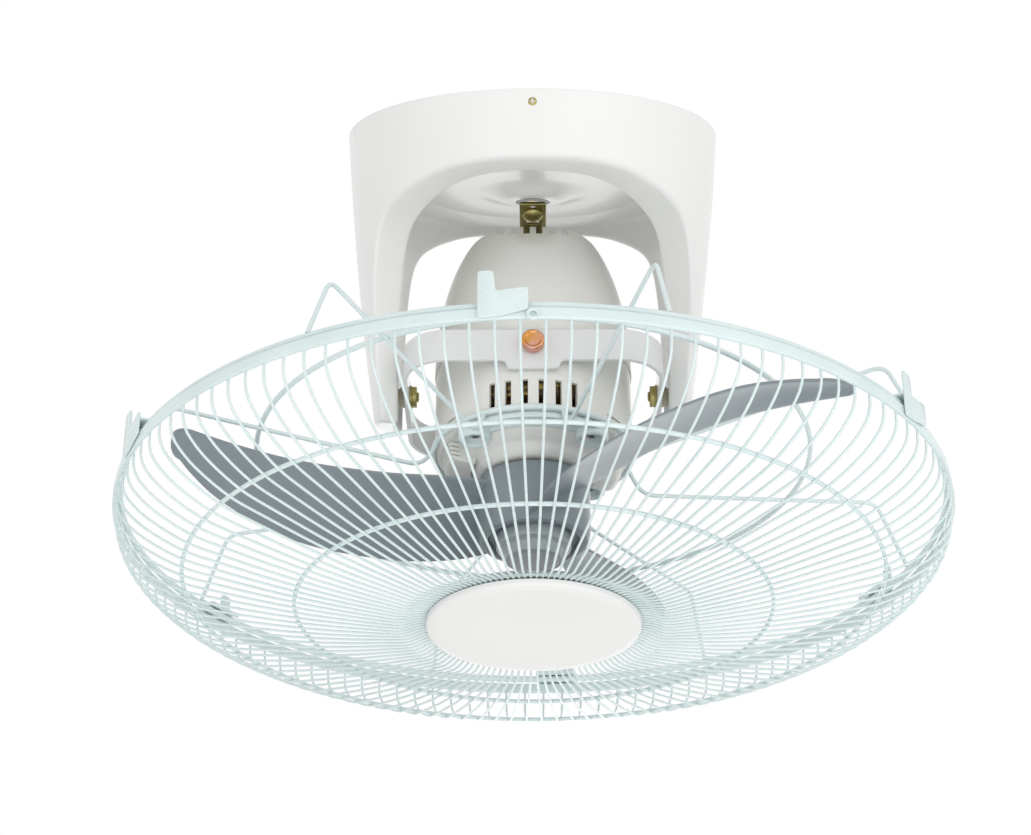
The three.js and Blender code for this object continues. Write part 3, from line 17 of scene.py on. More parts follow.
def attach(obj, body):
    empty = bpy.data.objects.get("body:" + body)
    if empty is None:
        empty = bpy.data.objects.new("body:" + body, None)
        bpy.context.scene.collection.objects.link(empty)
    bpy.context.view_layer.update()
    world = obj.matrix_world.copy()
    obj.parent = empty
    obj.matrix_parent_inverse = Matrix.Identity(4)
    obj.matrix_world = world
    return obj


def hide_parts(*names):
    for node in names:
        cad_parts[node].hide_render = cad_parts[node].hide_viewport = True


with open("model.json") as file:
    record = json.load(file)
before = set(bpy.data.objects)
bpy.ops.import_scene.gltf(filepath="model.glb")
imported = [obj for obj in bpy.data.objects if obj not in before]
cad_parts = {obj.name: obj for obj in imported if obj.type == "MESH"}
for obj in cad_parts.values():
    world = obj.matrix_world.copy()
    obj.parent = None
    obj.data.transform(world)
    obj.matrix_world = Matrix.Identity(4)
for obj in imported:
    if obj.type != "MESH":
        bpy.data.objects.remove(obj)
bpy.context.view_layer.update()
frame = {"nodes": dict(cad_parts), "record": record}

# ---------------------------------------------------------------- frames and driving sizes
MM = 0.001
HEAD_TILT = 21.25                 # degrees, towards the camera
GIMBAL_DEPTH = 146.6              # ceiling to the crossing of the gimbal axes
FAN = Matrix.Scale(MM, 4)
HEAD = (Matrix.Translation((0, 0, -GIMBAL_DEPTH * MM))
        @ Matrix.Rotation(-math.radians(HEAD_TILT), 4, "X") @ FAN)

CANOPY_RADIUS = 103               # at the ceiling
CANOPY_FOOT_RADIUS = 87.7
CANOPY_HEIGHT = 164.5
VAULT_RADIUS = 77
HOUSING_RADIUS = 54
RIM_RADIUS = 223
RIM_REAR = 79.9                   # distances along the head's axis
RIM_WIDTH = 6.1
RIM_THICKNESS = 2.4
REAR_RIM_RADIUS = 219.4
REAR_RIM_AT = 77.6
REAR_RIM_WIRE = 2
WIRE_COUNT = 120
WIRE = 0.7
BADGE_RADIUS = 57
BADGE_FRONT = 142.2
BADGE_REAR = 137.2
FAR = 99                          # stands for a corner or a distance beyond any limit

body_of = {n: b for b, ns in frame["record"]["behaviour"]["bodies"].items() for n in ns}
slot_of = {s["node"]: s["material_slot"] for s in frame["record"]["subparts"]}


# ---------------------------------------------------------------- outlines
def rounded(points, radius, steps=5, closed=False):
    """A bent line with its corners rounded. radius is one size for all corners or one for each point."""
    points = [np.array(p, float) for p in points]
    n = len(points)
    radii = list(radius) if hasattr(radius, "__len__") else [radius] * n
    path = [] if closed else [points[0]]
    for i in range(0 if closed else 1, n if closed else n - 1):
        corner, into, out = points[i], points[i - 1] - points[i], points[(i + 1) % n] - points[i]
        reach = min(radii[i], np.linalg.norm(into) * 0.49, np.linalg.norm(out) * 0.49)
        if reach <= 0:
            path.append(corner)
            continue
        start = corner + into / np.linalg.norm(into) * reach
        end = corner + out / np.linalg.norm(out) * reach
        for t in np.linspace(0, 1, steps + 1):
            path.append((1 - t) ** 2 * start + 2 * t * (1 - t) * corner + t * t * end)
    if not closed:
        path.append(points[-1])
    return np.array(path)


def through(points, per_span):
    """A smooth curve through the points, a Catmull-Rom spline."""
    p = np.array(points, float)
    p = np.vstack([2 * p[0] - p[1], p, 2 * p[-1] - p[-2]])
    rows = []
    for i in range(1, len(p) - 2):
        t = np.linspace(0, 1, per_span, endpoint=False)[:, None]
        a, b, c, d = p[i - 1], p[i], p[i + 1], p[i + 2]
        rows.append(0.5 * (2 * b + (c - a) * t + (2 * a - 5 * b + 4 * c - d) * t ** 2
                           + (3 * b - a - 3 * c + d) * t ** 3))
    return np.vstack(rows + [p[-2][None]])


def resampled(path, step):
    """The same line with points a step apart."""
    path = np.array(path, float)
    along = np.concatenate([[0], np.cumsum(np.linalg.norm(np.diff(path, axis=0), axis=1))])
    count = max(2, int(round(along[-1] / step)) + 1)
    at = np.linspace(0, along[-1], count)
    return np.stack([np.interp(at, along, path[:, k]) for k in range(path.shape[1])], 1)


def circle(radius, count, z=0.0):
    angle = np.linspace(0, 2 * np.pi, count, endpoint=False)
    return np.stack([radius * np.cos(angle), radius * np.sin(angle), np.full(count, float(z))], 1)


# ---------------------------------------------------------------- shapes: (points, faces)
def merged(*shapes):
    points, faces, base = [], [], 0
    for p, f in shapes:
        points.append(np.array(p, float))
        faces += [tuple(i + base for i in face) for face in f]
        base += len(p)
    return np.vstack(points), faces


def turned_z(shape, degrees):
    a = math.radians(degrees)
    turn = np.array([[math.cos(a), -math.sin(a), 0], [math.sin(a), math.cos(a), 0], [0, 0, 1]])
    return shape[0] @ turn.T, shape[1]


def moved(shape, offset):
    return shape[0] + np.array(offset, float), shape[1]


def laid(shape, axes):
    """The shape with its x, y and z axes laid along the three given directions."""
    return shape[0] @ np.array(axes, float), shape[1]


def table(rows, around=False, along=False, skip=None):
    """Quads over a table of points. around joins the last column to the first, and along the last row."""
    rows = np.array(rows, float)
    n, m = rows.shape[:2]
    faces = []
    for i in range(n if along else n - 1):
        for j in range(m if around else m - 1):
            if skip is None or not skip(i, j):
                k, h = (i + 1) % n, (j + 1) % m
                faces.append((i * m + j, i * m + h, k * m + h, k * m + j))
    return rows.reshape(-1, 3), faces


def capped(rows):
    """Quads over a table of closed rows, with a flat face at each end."""
    points, faces = table(rows, around=True)
    n = np.shape(rows)[1]
    last = len(points) - n
    return points, faces + [tuple(range(n)), tuple(last + i for i in range(n))]


def lathe(outline, count=96, closed=True, angles=None, skip=None):
    """A surface of revolution about z from (r, z) points."""
    outline = np.array(outline, float)
    turn = np.radians(angles) if angles is not None else np.linspace(0, 2 * np.pi, count, endpoint=False)
    r, z = outline[:, 0], outline[:, 1]
    rows = np.stack([np.outer(np.cos(turn), r), np.outer(np.sin(turn), r), np.tile(z, (len(turn), 1))], 2)
    return table(rows, around=closed, along=True, skip=skip)


def lathe_head(outline, **options):
    """The same about the head's axis, from (r, l) points."""
    return lathe([(r, -l) for r, l in outline], **options)


def part_turn(outline, degrees):
    """A closed (r, l) outline turned about the head's axis through the given angles, with flat ends."""
    outline, turn = np.array(outline, float), np.radians(degrees)
    r, l = outline[:, 0], outline[:, 1]
    return capped(np.stack([np.outer(np.cos(turn), r), np.outer(np.sin(turn), r),
                            np.tile(-l, (len(turn), 1))], 2))


def tube(path, radius, sides=10, closed=False):
    """A round wire along a path, with flat ends."""
    path = np.array(path, float)
    ahead = np.roll(path, -1, 0) - np.roll(path, 1, 0)
    if not closed:
        ahead[0], ahead[-1] = path[1] - path[0], path[-1] - path[-2]
    ahead /= np.linalg.norm(ahead, axis=1)[:, None]
    side = np.cross(ahead[0], (0, 0, 1.0))
    if np.linalg.norm(side) < 0.1:
        side = np.cross(ahead[0], (0, 1.0, 0))
    angle = np.linspace(0, 2 * np.pi, sides, endpoint=False)[:, None]
    rows = []
    for place, forward in zip(path, ahead):
        side = side - forward * (side @ forward)
        side /= np.linalg.norm(side)
        up = np.cross(forward, side)
        rows.append(place + radius * (np.cos(angle) * side + np.sin(angle) * up))
    return table(rows, around=True, along=True) if closed else capped(rows)


def hoop(radius, wire, l, count=240, sides=12):
    """A ring of round wire about the head's axis."""
    return tube(circle(radius, count, -l), wire, sides, closed=True)


def slab(outline, low, high):
    """A plate of the given outline between two heights."""
    outline = np.array(outline, float)
    n = len(outline)
    points = np.vstack([np.column_stack([outline, np.full(n, z)]) for z in (low, high)])
    sides = [(i, (i + 1) % n, n + (i + 1) % n, n + i) for i in range(n)]
    return points, sides + [tuple(range(n)), tuple(range(n, 2 * n))]


def rod(radius, low, high, count=24):
    return slab(circle(radius, count)[:, :2], low, high)


# ---------------------------------------------------------------- meshes and pieces
def mesh_of(name, shape):
    points, faces = shape
    mesh = bpy.data.meshes.new(name)
    mesh.from_pydata([tuple(p) for p in points], [], faces)
    work = bmesh.new()
    work.from_mesh(mesh)
    bmesh.ops.remove_doubles(work, verts=work.verts, dist=1e-3)
    bmesh.ops.dissolve_degenerate(work, edges=work.edges, dist=1e-4)
    bmesh.ops.recalc_face_normals(work, faces=work.faces)
    work.to_mesh(mesh)
    work.free()
    return mesh


def solid(name, shape, shell=0, bevel=0, bevel_steps=2, angle=35, cuts=(), joins=()):
    """An object from a shape. shell thickens a skin inwards, cuts and joins are other shapes, and bevel
    rounds the edges sharper than the angle."""
    thing = bpy.data.objects.new(name, mesh_of(name, shape))
    bpy.context.scene.collection.objects.link(thing)
    helpers = []
    if shell:
        wall = thing.modifiers.new("wall", "SOLIDIFY")
        wall.thickness = shell
        wall.offset = -1
        wall.use_even_offset = True
    for kind, shapes in (("UNION", joins), ("DIFFERENCE", cuts)):
        for other in shapes:
            helper = bpy.data.objects.new(name + "_helper", mesh_of(name + "_helper", other))
            bpy.context.scene.collection.objects.link(helper)
            helpers.append(helper)
            step = thing.modifiers.new(kind, "BOOLEAN")
            step.operation = kind
            step.solver = "EXACT"
            step.object = helper
    if bevel:
        edge = thing.modifiers.new("edge", "BEVEL")
        edge.width = bevel
        edge.segments = bevel_steps
        edge.limit_method = "ANGLE"
        edge.angle_limit = math.radians(angle)
        edge.harden_normals = False
    bpy.context.view_layer.update()
    depsgraph = bpy.context.evaluated_depsgraph_get()
    final = bpy.data.meshes.new_from_object(thing.evaluated_get(depsgraph), depsgraph=depsgraph)
    thing.modifiers.clear()
    draft = thing.data
    thing.data = final
    bpy.data.meshes.remove(draft)
    for helper in helpers:
        bpy.data.meshes.remove(helper.data)
    final.polygons.foreach_set("use_smooth", [True] * len(final.polygons))
    final.set_sharp_from_angle(angle=math.radians(angle))
    return thing


def piece(node, shape, place, material=None, **options):
    """A fine piece that stands for a CAD node and rides on its body."""
    thing = solid(f"{node}_detail", shape, **options)
    thing.data.transform(place)
    thing.data.materials.append(material or finishes[slot_of[node]])
    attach(thing, body_of[node])
    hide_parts(node)


# ---------------------------------------------------------------- materials
def finish(name, color, roughness, metallic=0.0, tint=None, tint_scale=30, tint_low=0.35, tint_high=0.75,
           rough_spread=0.06, grain_scale=900, grain=0.02, stretch=(1, 1, 1), **sockets):
    """A surface whose colour drifts between two values, with mottled roughness and a fine grain.
    Scales are in features per metre, and grain is the bump's height in millimetres."""
    material = bpy.data.materials.new(name)
    material.use_nodes = True
    nodes, links = material.node_tree.nodes, material.node_tree.links
    shader = nodes["Principled BSDF"]
    place = nodes.new("ShaderNodeTexCoord")
    mapping = nodes.new("ShaderNodeMapping")
    mapping.inputs["Scale"].default_value = stretch
    links.new(place.outputs["Object"], mapping.inputs["Vector"])

    def cloud(scale, detail):
        noise = nodes.new("ShaderNodeTexNoise")
        noise.inputs["Scale"].default_value = scale
        noise.inputs["Detail"].default_value = detail
        links.new(mapping.outputs["Vector"], noise.inputs["Vector"])
        return noise.outputs["Fac"]

    ramp = nodes.new("ShaderNodeValToRGB")
    ramp.color_ramp.elements[0].position = tint_low
    ramp.color_ramp.elements[1].position = tint_high
    ramp.color_ramp.elements[0].color = (*color, 1)
    ramp.color_ramp.elements[1].color = (*(tint or [c * 0.94 for c in color]), 1)
    links.new(cloud(tint_scale, 4), ramp.inputs["Fac"])
    links.new(ramp.outputs["Color"], shader.inputs["Base Color"])
    spread = nodes.new("ShaderNodeMapRange")
    spread.inputs["To Min"].default_value = max(0.02, roughness - rough_spread)
    spread.inputs["To Max"].default_value = min(1.0, roughness + rough_spread)
    links.new(cloud(tint_scale * 3, 3), spread.inputs["Value"])
    links.new(spread.outputs["Result"], shader.inputs["Roughness"])
    bump = nodes.new("ShaderNodeBump")
    bump.inputs["Strength"].default_value = 1.0
    bump.inputs["Distance"].default_value = grain * MM
    links.new(cloud(grain_scale, 2), bump.inputs["Height"])
    links.new(bump.outputs["Normal"], shader.inputs["Normal"])
    shader.inputs["Metallic"].default_value = metallic
    for socket, value in sockets.items():
        shader.inputs[socket.replace("_", " ")].default_value = value
    return material


finishes = {
    "white_shell": finish("white_abs", (0.82, 0.82, 0.805), 0.34, tint=(0.79, 0.795, 0.775), tint_scale=9,
                          grain_scale=420, grain=0.012, Coat_Weight=0.25, Coat_Roughness=0.12),
    "motor_paint": finish("cream_enamel", (0.77, 0.77, 0.735), 0.38, tint=(0.735, 0.735, 0.69), tint_scale=14,
                          grain_scale=600, grain=0.02, Coat_Weight=0.15, Coat_Roughness=0.2),
    "ring_paint": finish("grey_white_enamel", (0.73, 0.74, 0.735), 0.34, tint_scale=20, grain_scale=600,
                         grain=0.02, Coat_Weight=0.2, Coat_Roughness=0.15),
    "guard_paint": finish("ice_green_powder_coat", (0.70, 0.80, 0.795), 0.28, tint=(0.62, 0.735, 0.735),
                          tint_scale=35, grain_scale=1500, grain=0.01, Coat_Weight=0.35, Coat_Roughness=0.12),
    "impeller_plastic": finish("grey_blade_plastic", (0.225, 0.262, 0.285), 0.38, tint=(0.195, 0.232, 0.255),
                               tint_scale=12, grain_scale=900, grain=0.01, Coat_Weight=0.15,
                               Coat_Roughness=0.25),
    "yellow_zinc": finish("yellow_zinc_plate", (0.46, 0.37, 0.15), 0.34, metallic=1.0,
                          tint=(0.33, 0.33, 0.13), tint_scale=160, rough_spread=0.1, grain_scale=1800,
                          grain=0.015),
    "orange_zinc": finish("orange_zinc_plate", (0.66, 0.32, 0.09), 0.24, metallic=1.0,
                          tint=(0.72, 0.38, 0.33), tint_scale=90, tint_low=0.42, tint_high=0.6,
                          grain_scale=1200, grain=0.01),
    "steel": finish("bare_steel", (0.50, 0.51, 0.52), 0.36, metallic=1.0, tint=(0.42, 0.43, 0.45),
                    tint_scale=60, grain_scale=1500, grain=0.02, stretch=(1, 1, 6)),
    "cast_alloy": finish("cast_alloy", (0.46, 0.46, 0.47), 0.5, metallic=0.9, tint_scale=80, grain_scale=800,
                         grain=0.06),
    "bearing_bronze": finish("sintered_bronze", (0.50, 0.34, 0.14), 0.42, metallic=1.0, tint_scale=200,
                             grain_scale=2500, grain=0.03),
    "copper_wire": finish("varnished_copper", (0.48, 0.20, 0.07), 0.3, metallic=0.9, tint=(0.30, 0.11, 0.03),
                          tint_scale=240, grain_scale=1400, grain=0.15, stretch=(1, 1, 4), Coat_Weight=0.5),
    "nylon": finish("natural_nylon", (0.62, 0.57, 0.43), 0.42, tint=(0.56, 0.51, 0.37), tint_scale=50,
                    grain_scale=900, grain=0.02, Subsurface_Weight=0.1, Subsurface_Scale=0.002),
    "dark_bush": finish("black_acetal", (0.02, 0.02, 0.022), 0.35, tint=(0.03, 0.03, 0.032), tint_scale=60,
                        grain_scale=1200, grain=0.01),
}
# Two pieces look unlike the rest of their slot: the core seen through the vents, and the clear nut. The
# core's colour is partly its brown and gold varnish and partly painted shade: its base is darkened to near
# black for the shade inside the housing behind the vents.
core_varnish_and_painted_shade = finish("varnished_laminations_and_painted_shade", (0.055, 0.035, 0.015), 0.42, metallic=0.55,
                        tint=(0.36, 0.27, 0.09), tint_scale=70, tint_low=0.45, tint_high=0.62,
                        grain_scale=1500, grain=0.05, stretch=(1, 1, 6))
clear_nut = finish("smoky_nut_plastic", (0.42, 0.46, 0.48), 0.3, tint=(0.36, 0.40, 0.42), tint_scale=25,
                   grain_scale=900, grain=0.01, Coat_Weight=0.3, Coat_Roughness=0.2)
for node, thing in frame["nodes"].items():
    thing.data.materials.clear()
    thing.data.materials.append(core_varnish_and_painted_shade if node == "stator_core" else finishes[slot_of[node]])

# ---------------------------------------------------------------- canopy
CANOPY_EDGE = 1.4
SKIRT_INNER = 99                  # inside radius of the wiring space
SPACE_FLOOR = 27.5                # depth of the wiring space's floor over the boss and near the skirt
SPACE_FLOOR_EDGE = 34.2
VAULT_CEILING = 31
VAULT_FILLET = 17
VAULT_POINTS = 54
BOSS_RADIUS = 14
BOSS_DEPTH = 36.1
CRANK_HOLE = 9.5
# Edges of the front arch on the vault and on the outer wall, as (degrees from the front, z).
ARCH_INNER = [(0, -38), (12, -38.3), (22, -39.4), (32.5, -42.6), (42, -47.5), (49, -52.2), (56, -58.6),
              (61.3, -67.5), (64.9, -80.5), (67.2, -94.3), (69.3, -112), (71.2, -138)]
ARCH_OUTER = [(0, -36.5), (11, -36.7), (20, -37.6), (29.5, -39.8), (38.5, -44.2), (45.5, -48.6), (53, -56),
              (58, -66.5), (61.7, -81), (64, -94.5), (66.2, -112), (68.3, -138)]
FOOT_INNER = 72.4                 # degrees from the front at the bottom of the leg
FOOT_OUTER = 69.6
FOOT_ROUND = 4.5
ARCH_FLAT_RADIUS = 90             # the outer edge is laid out flat at this radius
SOFT_CROWN = 5.5                  # roundness of the outer edge over the crown and down the legs
SOFT_LEG = 2.9
SOFT_VAULT = 2.6                  # roundness of the vault's edge
LEG_FROM = 60                     # degrees from the front


def canopy_radius(z):
    t = -np.asarray(z, float) / CANOPY_HEIGHT
    return CANOPY_RADIUS - (CANOPY_RADIUS - CANOPY_FOOT_RADIUS) * (0.55 * t + 0.45 * t * t)


def arch_edge(arch, foot, radius):
    """The arch's edge and the leg's foot as one line of degrees and z, with the way into the wall."""
    flat = math.pi / 180 * radius         # mm round the wall for a degree
    curve = through([(a * flat, z) for a, z in arch] + [(foot * flat, -CANOPY_HEIGHT)], 4)
    corner = rounded([curve[-2], curve[-1], (90 * flat, -CANOPY_HEIGHT)], FOOT_ROUND, steps=5)
    floor = np.linspace(corner[-2], corner[-1], 9)[1:]
    line = np.vstack([curve[:-2], corner[:-1], floor])
    ahead = np.gradient(line, axis=0)
    ahead[0] = ahead[-1] = (1, 0)
    ahead /= np.linalg.norm(ahead, axis=1)[:, None]
    return line / (flat, 1), np.stack([-ahead[:, 1] / flat, ahead[:, 0]], 1)


def vault_line():
    """The vault's profile from a leg's foot up to the crank hole, with its length to each point."""
    fillet = [(VAULT_RADIUS, -VAULT_CEILING - VAULT_FILLET), (VAULT_RADIUS, -VAULT_CEILING),
              (VAULT_RADIUS - 1.6 * VAULT_FILLET, -VAULT_CEILING)]
    dome = rounded(fillet, FAR, steps=16)
    boss = rounded([dome[-1], (BOSS_RADIUS + 14, -VAULT_CEILING), (BOSS_RADIUS + 1, -BOSS_DEPTH),
                    (CRANK_HOLE, -BOSS_DEPTH)], (0, 9, 3, 0), steps=6)
    line = np.vstack([[(VAULT_RADIUS, -CANOPY_HEIGHT)], dome, boss[1:]])
    return line, np.concatenate([[0], np.cumsum(np.linalg.norm(np.diff(line, axis=0), axis=1))])


def on_wall(degrees, z, radius):
    """Points at an angle from the front, a height and a radius."""
    a = np.radians(degrees)
    return np.stack([radius * np.sin(a), -radius * np.cos(a), z * np.ones_like(a)], -1)


def bend(start, corner, end, steps):
    """A curve from start to end that leaves and arrives along the lines to the corner."""
    t = np.linspace(0, 1, steps + 1)[:, None]
    return (1 - t) ** 2 * start + 2 * t * (1 - t) * corner + t * t * end


def canopy():
    """A quarter of the shell, as a row round the wall for each point of the arch, mirrored to all four."""
    outer, outer_in = arch_edge(ARCH_OUTER, FOOT_OUTER, ARCH_FLAT_RADIUS)
    inner, inner_in = arch_edge(ARCH_INNER, FOOT_INNER, VAULT_RADIUS)
    line, length = vault_line()
    rising = slice(0, int(np.argmax(line[:, 1] >= -VAULT_CEILING - 1e-6)) + 1)
    space = rounded([(CRANK_HOLE, -BOSS_DEPTH), (CRANK_HOLE, -SPACE_FLOOR), (46, -SPACE_FLOOR),
                     (76, -SPACE_FLOOR_EDGE), (97.6, -SPACE_FLOOR_EDGE), (SKIRT_INNER, -12), (SKIRT_INNER, 0),
                     (CANOPY_RADIUS, 0), (CANOPY_RADIUS, -CANOPY_EDGE)],
                    (0, 1, 12, 4, 4, 4, 0.8, 1.2, 0), steps=4)
    rows = []
    for i, ((a, z), (b, y)) in enumerate(zip(outer, inner)):
        soft = SOFT_CROWN - (SOFT_CROWN - SOFT_LEG) * min(1.0, a / LEG_FROM)
        corner = on_wall(a, z, canopy_radius(z))
        edge_a, edge_z = np.array([a, z]) + outer_in[i] * soft
        start = on_wall(edge_a, edge_z, canopy_radius(edge_z))
        climb = np.interp(y, line[rising, 1], length[rising]) + inner_in[i][1] * SOFT_VAULT
        edge_b = b + inner_in[i][0] * SOFT_VAULT
        at = np.linspace(climb, length[-1], VAULT_POINTS)
        vault_r, vault_z = np.interp(at, length, line[:, 0]), np.interp(at, length, line[:, 1])
        vault = on_wall(np.full(len(at), edge_b), vault_z, vault_r)
        foot = on_wall(b, y, np.interp(y, line[rising, 1], line[rising, 0]))
        reveal = foot - corner
        width = np.linalg.norm(reveal)
        first = corner + reveal * min(0.45, soft / width)
        last = foot - reveal * min(0.3, SOFT_VAULT / width)
        wall_z = np.linspace(-CANOPY_EDGE, edge_z, 15)[1:-1]
        wall = on_wall(np.full(len(wall_z), edge_a), wall_z, canopy_radius(wall_z))
        inside = on_wall(np.full(len(space), edge_b), space[:, 1], space[:, 0])
        inside[-1] = on_wall(edge_a, space[-1, 1], space[-1, 0])
        rows.append(np.vstack([wall, bend(start, corner, first, 6), (first + last)[None] / 2,
                               bend(last, foot, vault[0], 4), vault[1:], inside[1:]]))
    quarter = np.array(rows)
    left = quarter[::-1][:-1] * (-1, 1, 1)
    front = np.vstack([left, quarter])
    back = front[1:-1] * (-1, -1, 1)
    ring = np.vstack([front, back])
    piece("canopy_shell", table(ring, around=True, along=True), FAN, angle=40)


canopy()


def screw_head(radius, height, drive=0.0):
    """A domed screw head on z = 0, with a cross cut into it where a drive size is given."""
    head = lathe([(0, 0), (radius, 0), (radius, height * 0.35), (radius * 0.82, height * 0.75),
                  (radius * 0.45, height * 0.97), (0, height)], count=32, closed=False)
    cross = [slab([(-w, -h), (w, -h), (w, h), (-w, h)], height * 0.45, height + 1)
             for w, h in ((drive, drive * 0.28), (drive * 0.28, drive))]
    return head, cross if drive else ()


TO_FRONT = [(1, 0, 0), (0, 0, 1), (0, -1, 0)]      # z of the shape laid along -y
TO_BACK = [(-1, 0, 0), (0, 0, 1), (0, 1, 0)]       # z laid along +y
TO_RIGHT = [(0, 1, 0), (0, 0, 1), (1, 0, 0)]       # z laid along +x
TO_LEFT = [(0, -1, 0), (0, 0, 1), (-1, 0, 0)]      # z laid along -x
TO_REAR = [(1, 0, 0), (0, -1, 0), (0, 0, -1)]      # turned over, z laid along -z
CANOPY_SCREW_AT = 6.9             # below the ceiling

for node, axes, side in (("canopy_screw_front", TO_FRONT, -1), ("canopy_screw_back", TO_BACK, 1)):
    head, cross = screw_head(2.5, 1.1, 1.5)
    seat = (0, side * (CANOPY_RADIUS - 1.0), -CANOPY_SCREW_AT)
    stem = moved(laid(rod(1.5, -14, 0.2), axes), seat)
    piece(node, moved(laid(head, axes), seat), FAN, bevel=0.12,
          cuts=[moved(laid(c, axes), seat) for c in cross], joins=[stem])

# ---------------------------------------------------------------- gimbal ring and its bolts
RING_HALF_X = 70.8
RING_HALF_Y = 57
RING_CORNER = 25
RING_WIDTH = 19
RING_SHEET = 2.6
TAB_HALF = 14.3                   # the front and back tabs' half width and how far they hang down
TAB_DROP = 5.2


def gimbal_ring():
    """A strap round a rectangle with rounded corners, deeper where the roll bolts pass."""
    corners = [(RING_HALF_X, -RING_HALF_Y), (RING_HALF_X, RING_HALF_Y), (-RING_HALF_X, RING_HALF_Y),
               (-RING_HALF_X, -RING_HALF_Y)]
    arcs = []
    for x, y in corners:
        sx, sy = math.copysign(1, x), math.copysign(1, y)
        start = math.degrees(math.atan2(sy, sx)) - 45
        a = np.radians(np.linspace(start, start + 90, 13))
        arcs.append(np.stack([x - sx * RING_CORNER + RING_CORNER * np.cos(a),
                              y - sy * RING_CORNER + RING_CORNER * np.sin(a)], 1))
    path = []
    steps = np.array([-TAB_HALF - 3, -TAB_HALF - 1.5, -TAB_HALF - 0.5, -TAB_HALF + 0.6, -TAB_HALF + 2, 0,
                      TAB_HALF - 2, TAB_HALF - 0.6, TAB_HALF + 0.5, TAB_HALF + 1.5, TAB_HALF + 3])
    for i, arc in enumerate(arcs):
        path += list(arc)
        if i == 1:
            path += [(x, RING_HALF_Y) for x in steps[::-1]]
        if i == 3:
            path += [(x, -RING_HALF_Y) for x in steps]
    path = np.array(path)
    half = RING_WIDTH / 2
    edge = np.where(np.abs(np.abs(path[:, 1]) - RING_HALF_Y) < 1e-6, np.abs(path[:, 0]), FAR)
    drop = np.interp(edge, [TAB_HALF - 2, TAB_HALF - 0.6, TAB_HALF + 0.5, TAB_HALF + 1.5, TAB_HALF + 3],
                     [TAB_DROP, TAB_DROP * 0.9, TAB_DROP * 0.25, TAB_DROP * 0.06, 0])
    rows = [[(x, y, z) for z in (half, half - 1, 1, -half + 1, -half - d)] for (x, y), d in zip(path, drop)]
    shape = table(rows, along=True)
    piece("gimbal_ring", shape, HEAD, shell=RING_SHEET, bevel=0.7, bevel_steps=3, angle=50)


gimbal_ring()


THREAD_TURNS = 7
THREAD_PITCH = 0.8


def side_bolts():
    """The bolts, nuts and washers that hang the ring in the legs' feet, and their bushes."""
    inner_face = RING_HALF_X - RING_SHEET
    for side, outward, inward in (("right", TO_RIGHT, TO_LEFT), ("left", TO_LEFT, TO_RIGHT)):
        sign = 1 if side == "right" else -1

        def at(shape, x, axes):
            return moved(laid(shape, axes), (sign * x, 0, -GIMBAL_DEPTH))

        nut = at(rod(6.3, 0, 3.4, count=6), inner_face - 0.3, inward)
        washer = at(lathe(rounded([(3.1, 0), (6.6, 0), (6.6, 0.9), (3.1, 0.9)], 0.25, closed=True),
                          count=40), inner_face - 0.05, inward)
        thread = [(0, 0)]
        for i in range(THREAD_TURNS):
            thread += [(2.55, 0.45 + THREAD_PITCH * i), (3.0, 0.85 + THREAD_PITCH * i)]
        thread += [(2.2, 6.3), (0, 6.3)]
        stem = at(lathe(thread, count=32, closed=False), inner_face + 1.5, inward)
        body = at(rod(2.8, 0, 15.3), inner_face - 2, outward)
        piece(f"side_bolt_{side}", merged(nut, washer, stem, body), FAN, bevel=0.3, angle=50)
        sleeve = rounded([(3.2, 0), (5.9, 0), (5.9, 2.2), (4.8, 3.0), (4.8, 8.6), (5.3, 9.4), (3.2, 9.4)],
                         0.4, closed=True)
        piece(f"side_bush_{side}", at(lathe(sleeve, count=40), RING_HALF_X + 0.2, outward), FAN)


side_bolts()

for node, axes, side in (("roll_bolt_front", TO_FRONT, -1), ("roll_bolt_back", TO_BACK, 1)):
    profile = rounded([(0, 5.1), (4.0, 5.1), (4.7, 5.9), (5.5, 5.9), (6.15, 5.3), (6.15, 1.2), (5.7, 0.3),
                       (3.6, 0.3), (3.6, -6.5), (0, -6.5)],
                      (0, 0.8, 0.3, 0.3, 0.5, 0.5, 0.2, 0.2, 0.3, 0), steps=4)
    piece(node, moved(laid(lathe(profile, count=64, closed=False), axes), (0, side * RING_HALF_Y, 0)), HEAD)

# ---------------------------------------------------------------- motor head
HEAD_FLAT = 53.4                  # the head is flat where the ring passes
HEAD_FLAT_REACH = 17.5


def flattened(shape):
    """The shape with its front and back pressed flat behind the ring, fading out above and below it."""
    points = shape[0].copy()
    near = np.clip(1.4 - np.abs(points[:, 2]) / HEAD_FLAT_REACH * 1.2, 0, 1)
    limit = HEAD_FLAT + (1 - np.minimum(1, near * 4)) * 5
    points[:, 1] = np.clip(points[:, 1], -limit, limit)
    return points, shape[1]


DOME_OPENING = 20
DOME_REAR = -90.5
DOME_BASE = 54.6
DOME_FLANK = 25
DOME_EDGE = 37.4
DOME_FACET = 34                   # leaning flats at the front and back, and how far they open per mm
DOME_FACET_SLOPE = 0.636
DOME_WALL = 2.5
DOME_BLEND = 0.7                  # how softly the flats run into the round
SLOT_COUNT = 6
SLOT_PITCH = 7.1
SLOT_WIDTH = 3.6
SLOT_DEPTH = 7.8
SLOT_INNER = 22


def dome_skin(inset, corner_round):
    """The dome's side view, set in from the outside, and how far the flats let each point out."""
    rear = DOME_REAR + inset
    t = np.linspace(0, 1, 30)[:, None]
    base, flank = np.array([DOME_BASE - inset, -10.9]), np.array([DOME_BASE - inset, rear + DOME_FLANK])
    edge = np.array([DOME_EDGE - inset, rear])
    curve = (1 - t) ** 3 * base + 3 * t * (1 - t) ** 2 * flank + (3 * t * t * (1 - t) + t ** 3) * edge
    corner = rounded([curve[-5], edge, (DOME_EDGE - inset - 5, rear)], corner_round, steps=4)
    line = np.vstack([curve[:-5], corner, [(27, rear), (DOME_OPENING, rear)]])
    return line, DOME_FACET - 1.18 * inset + (line[:, 1] - DOME_REAR) * DOME_FACET_SLOPE


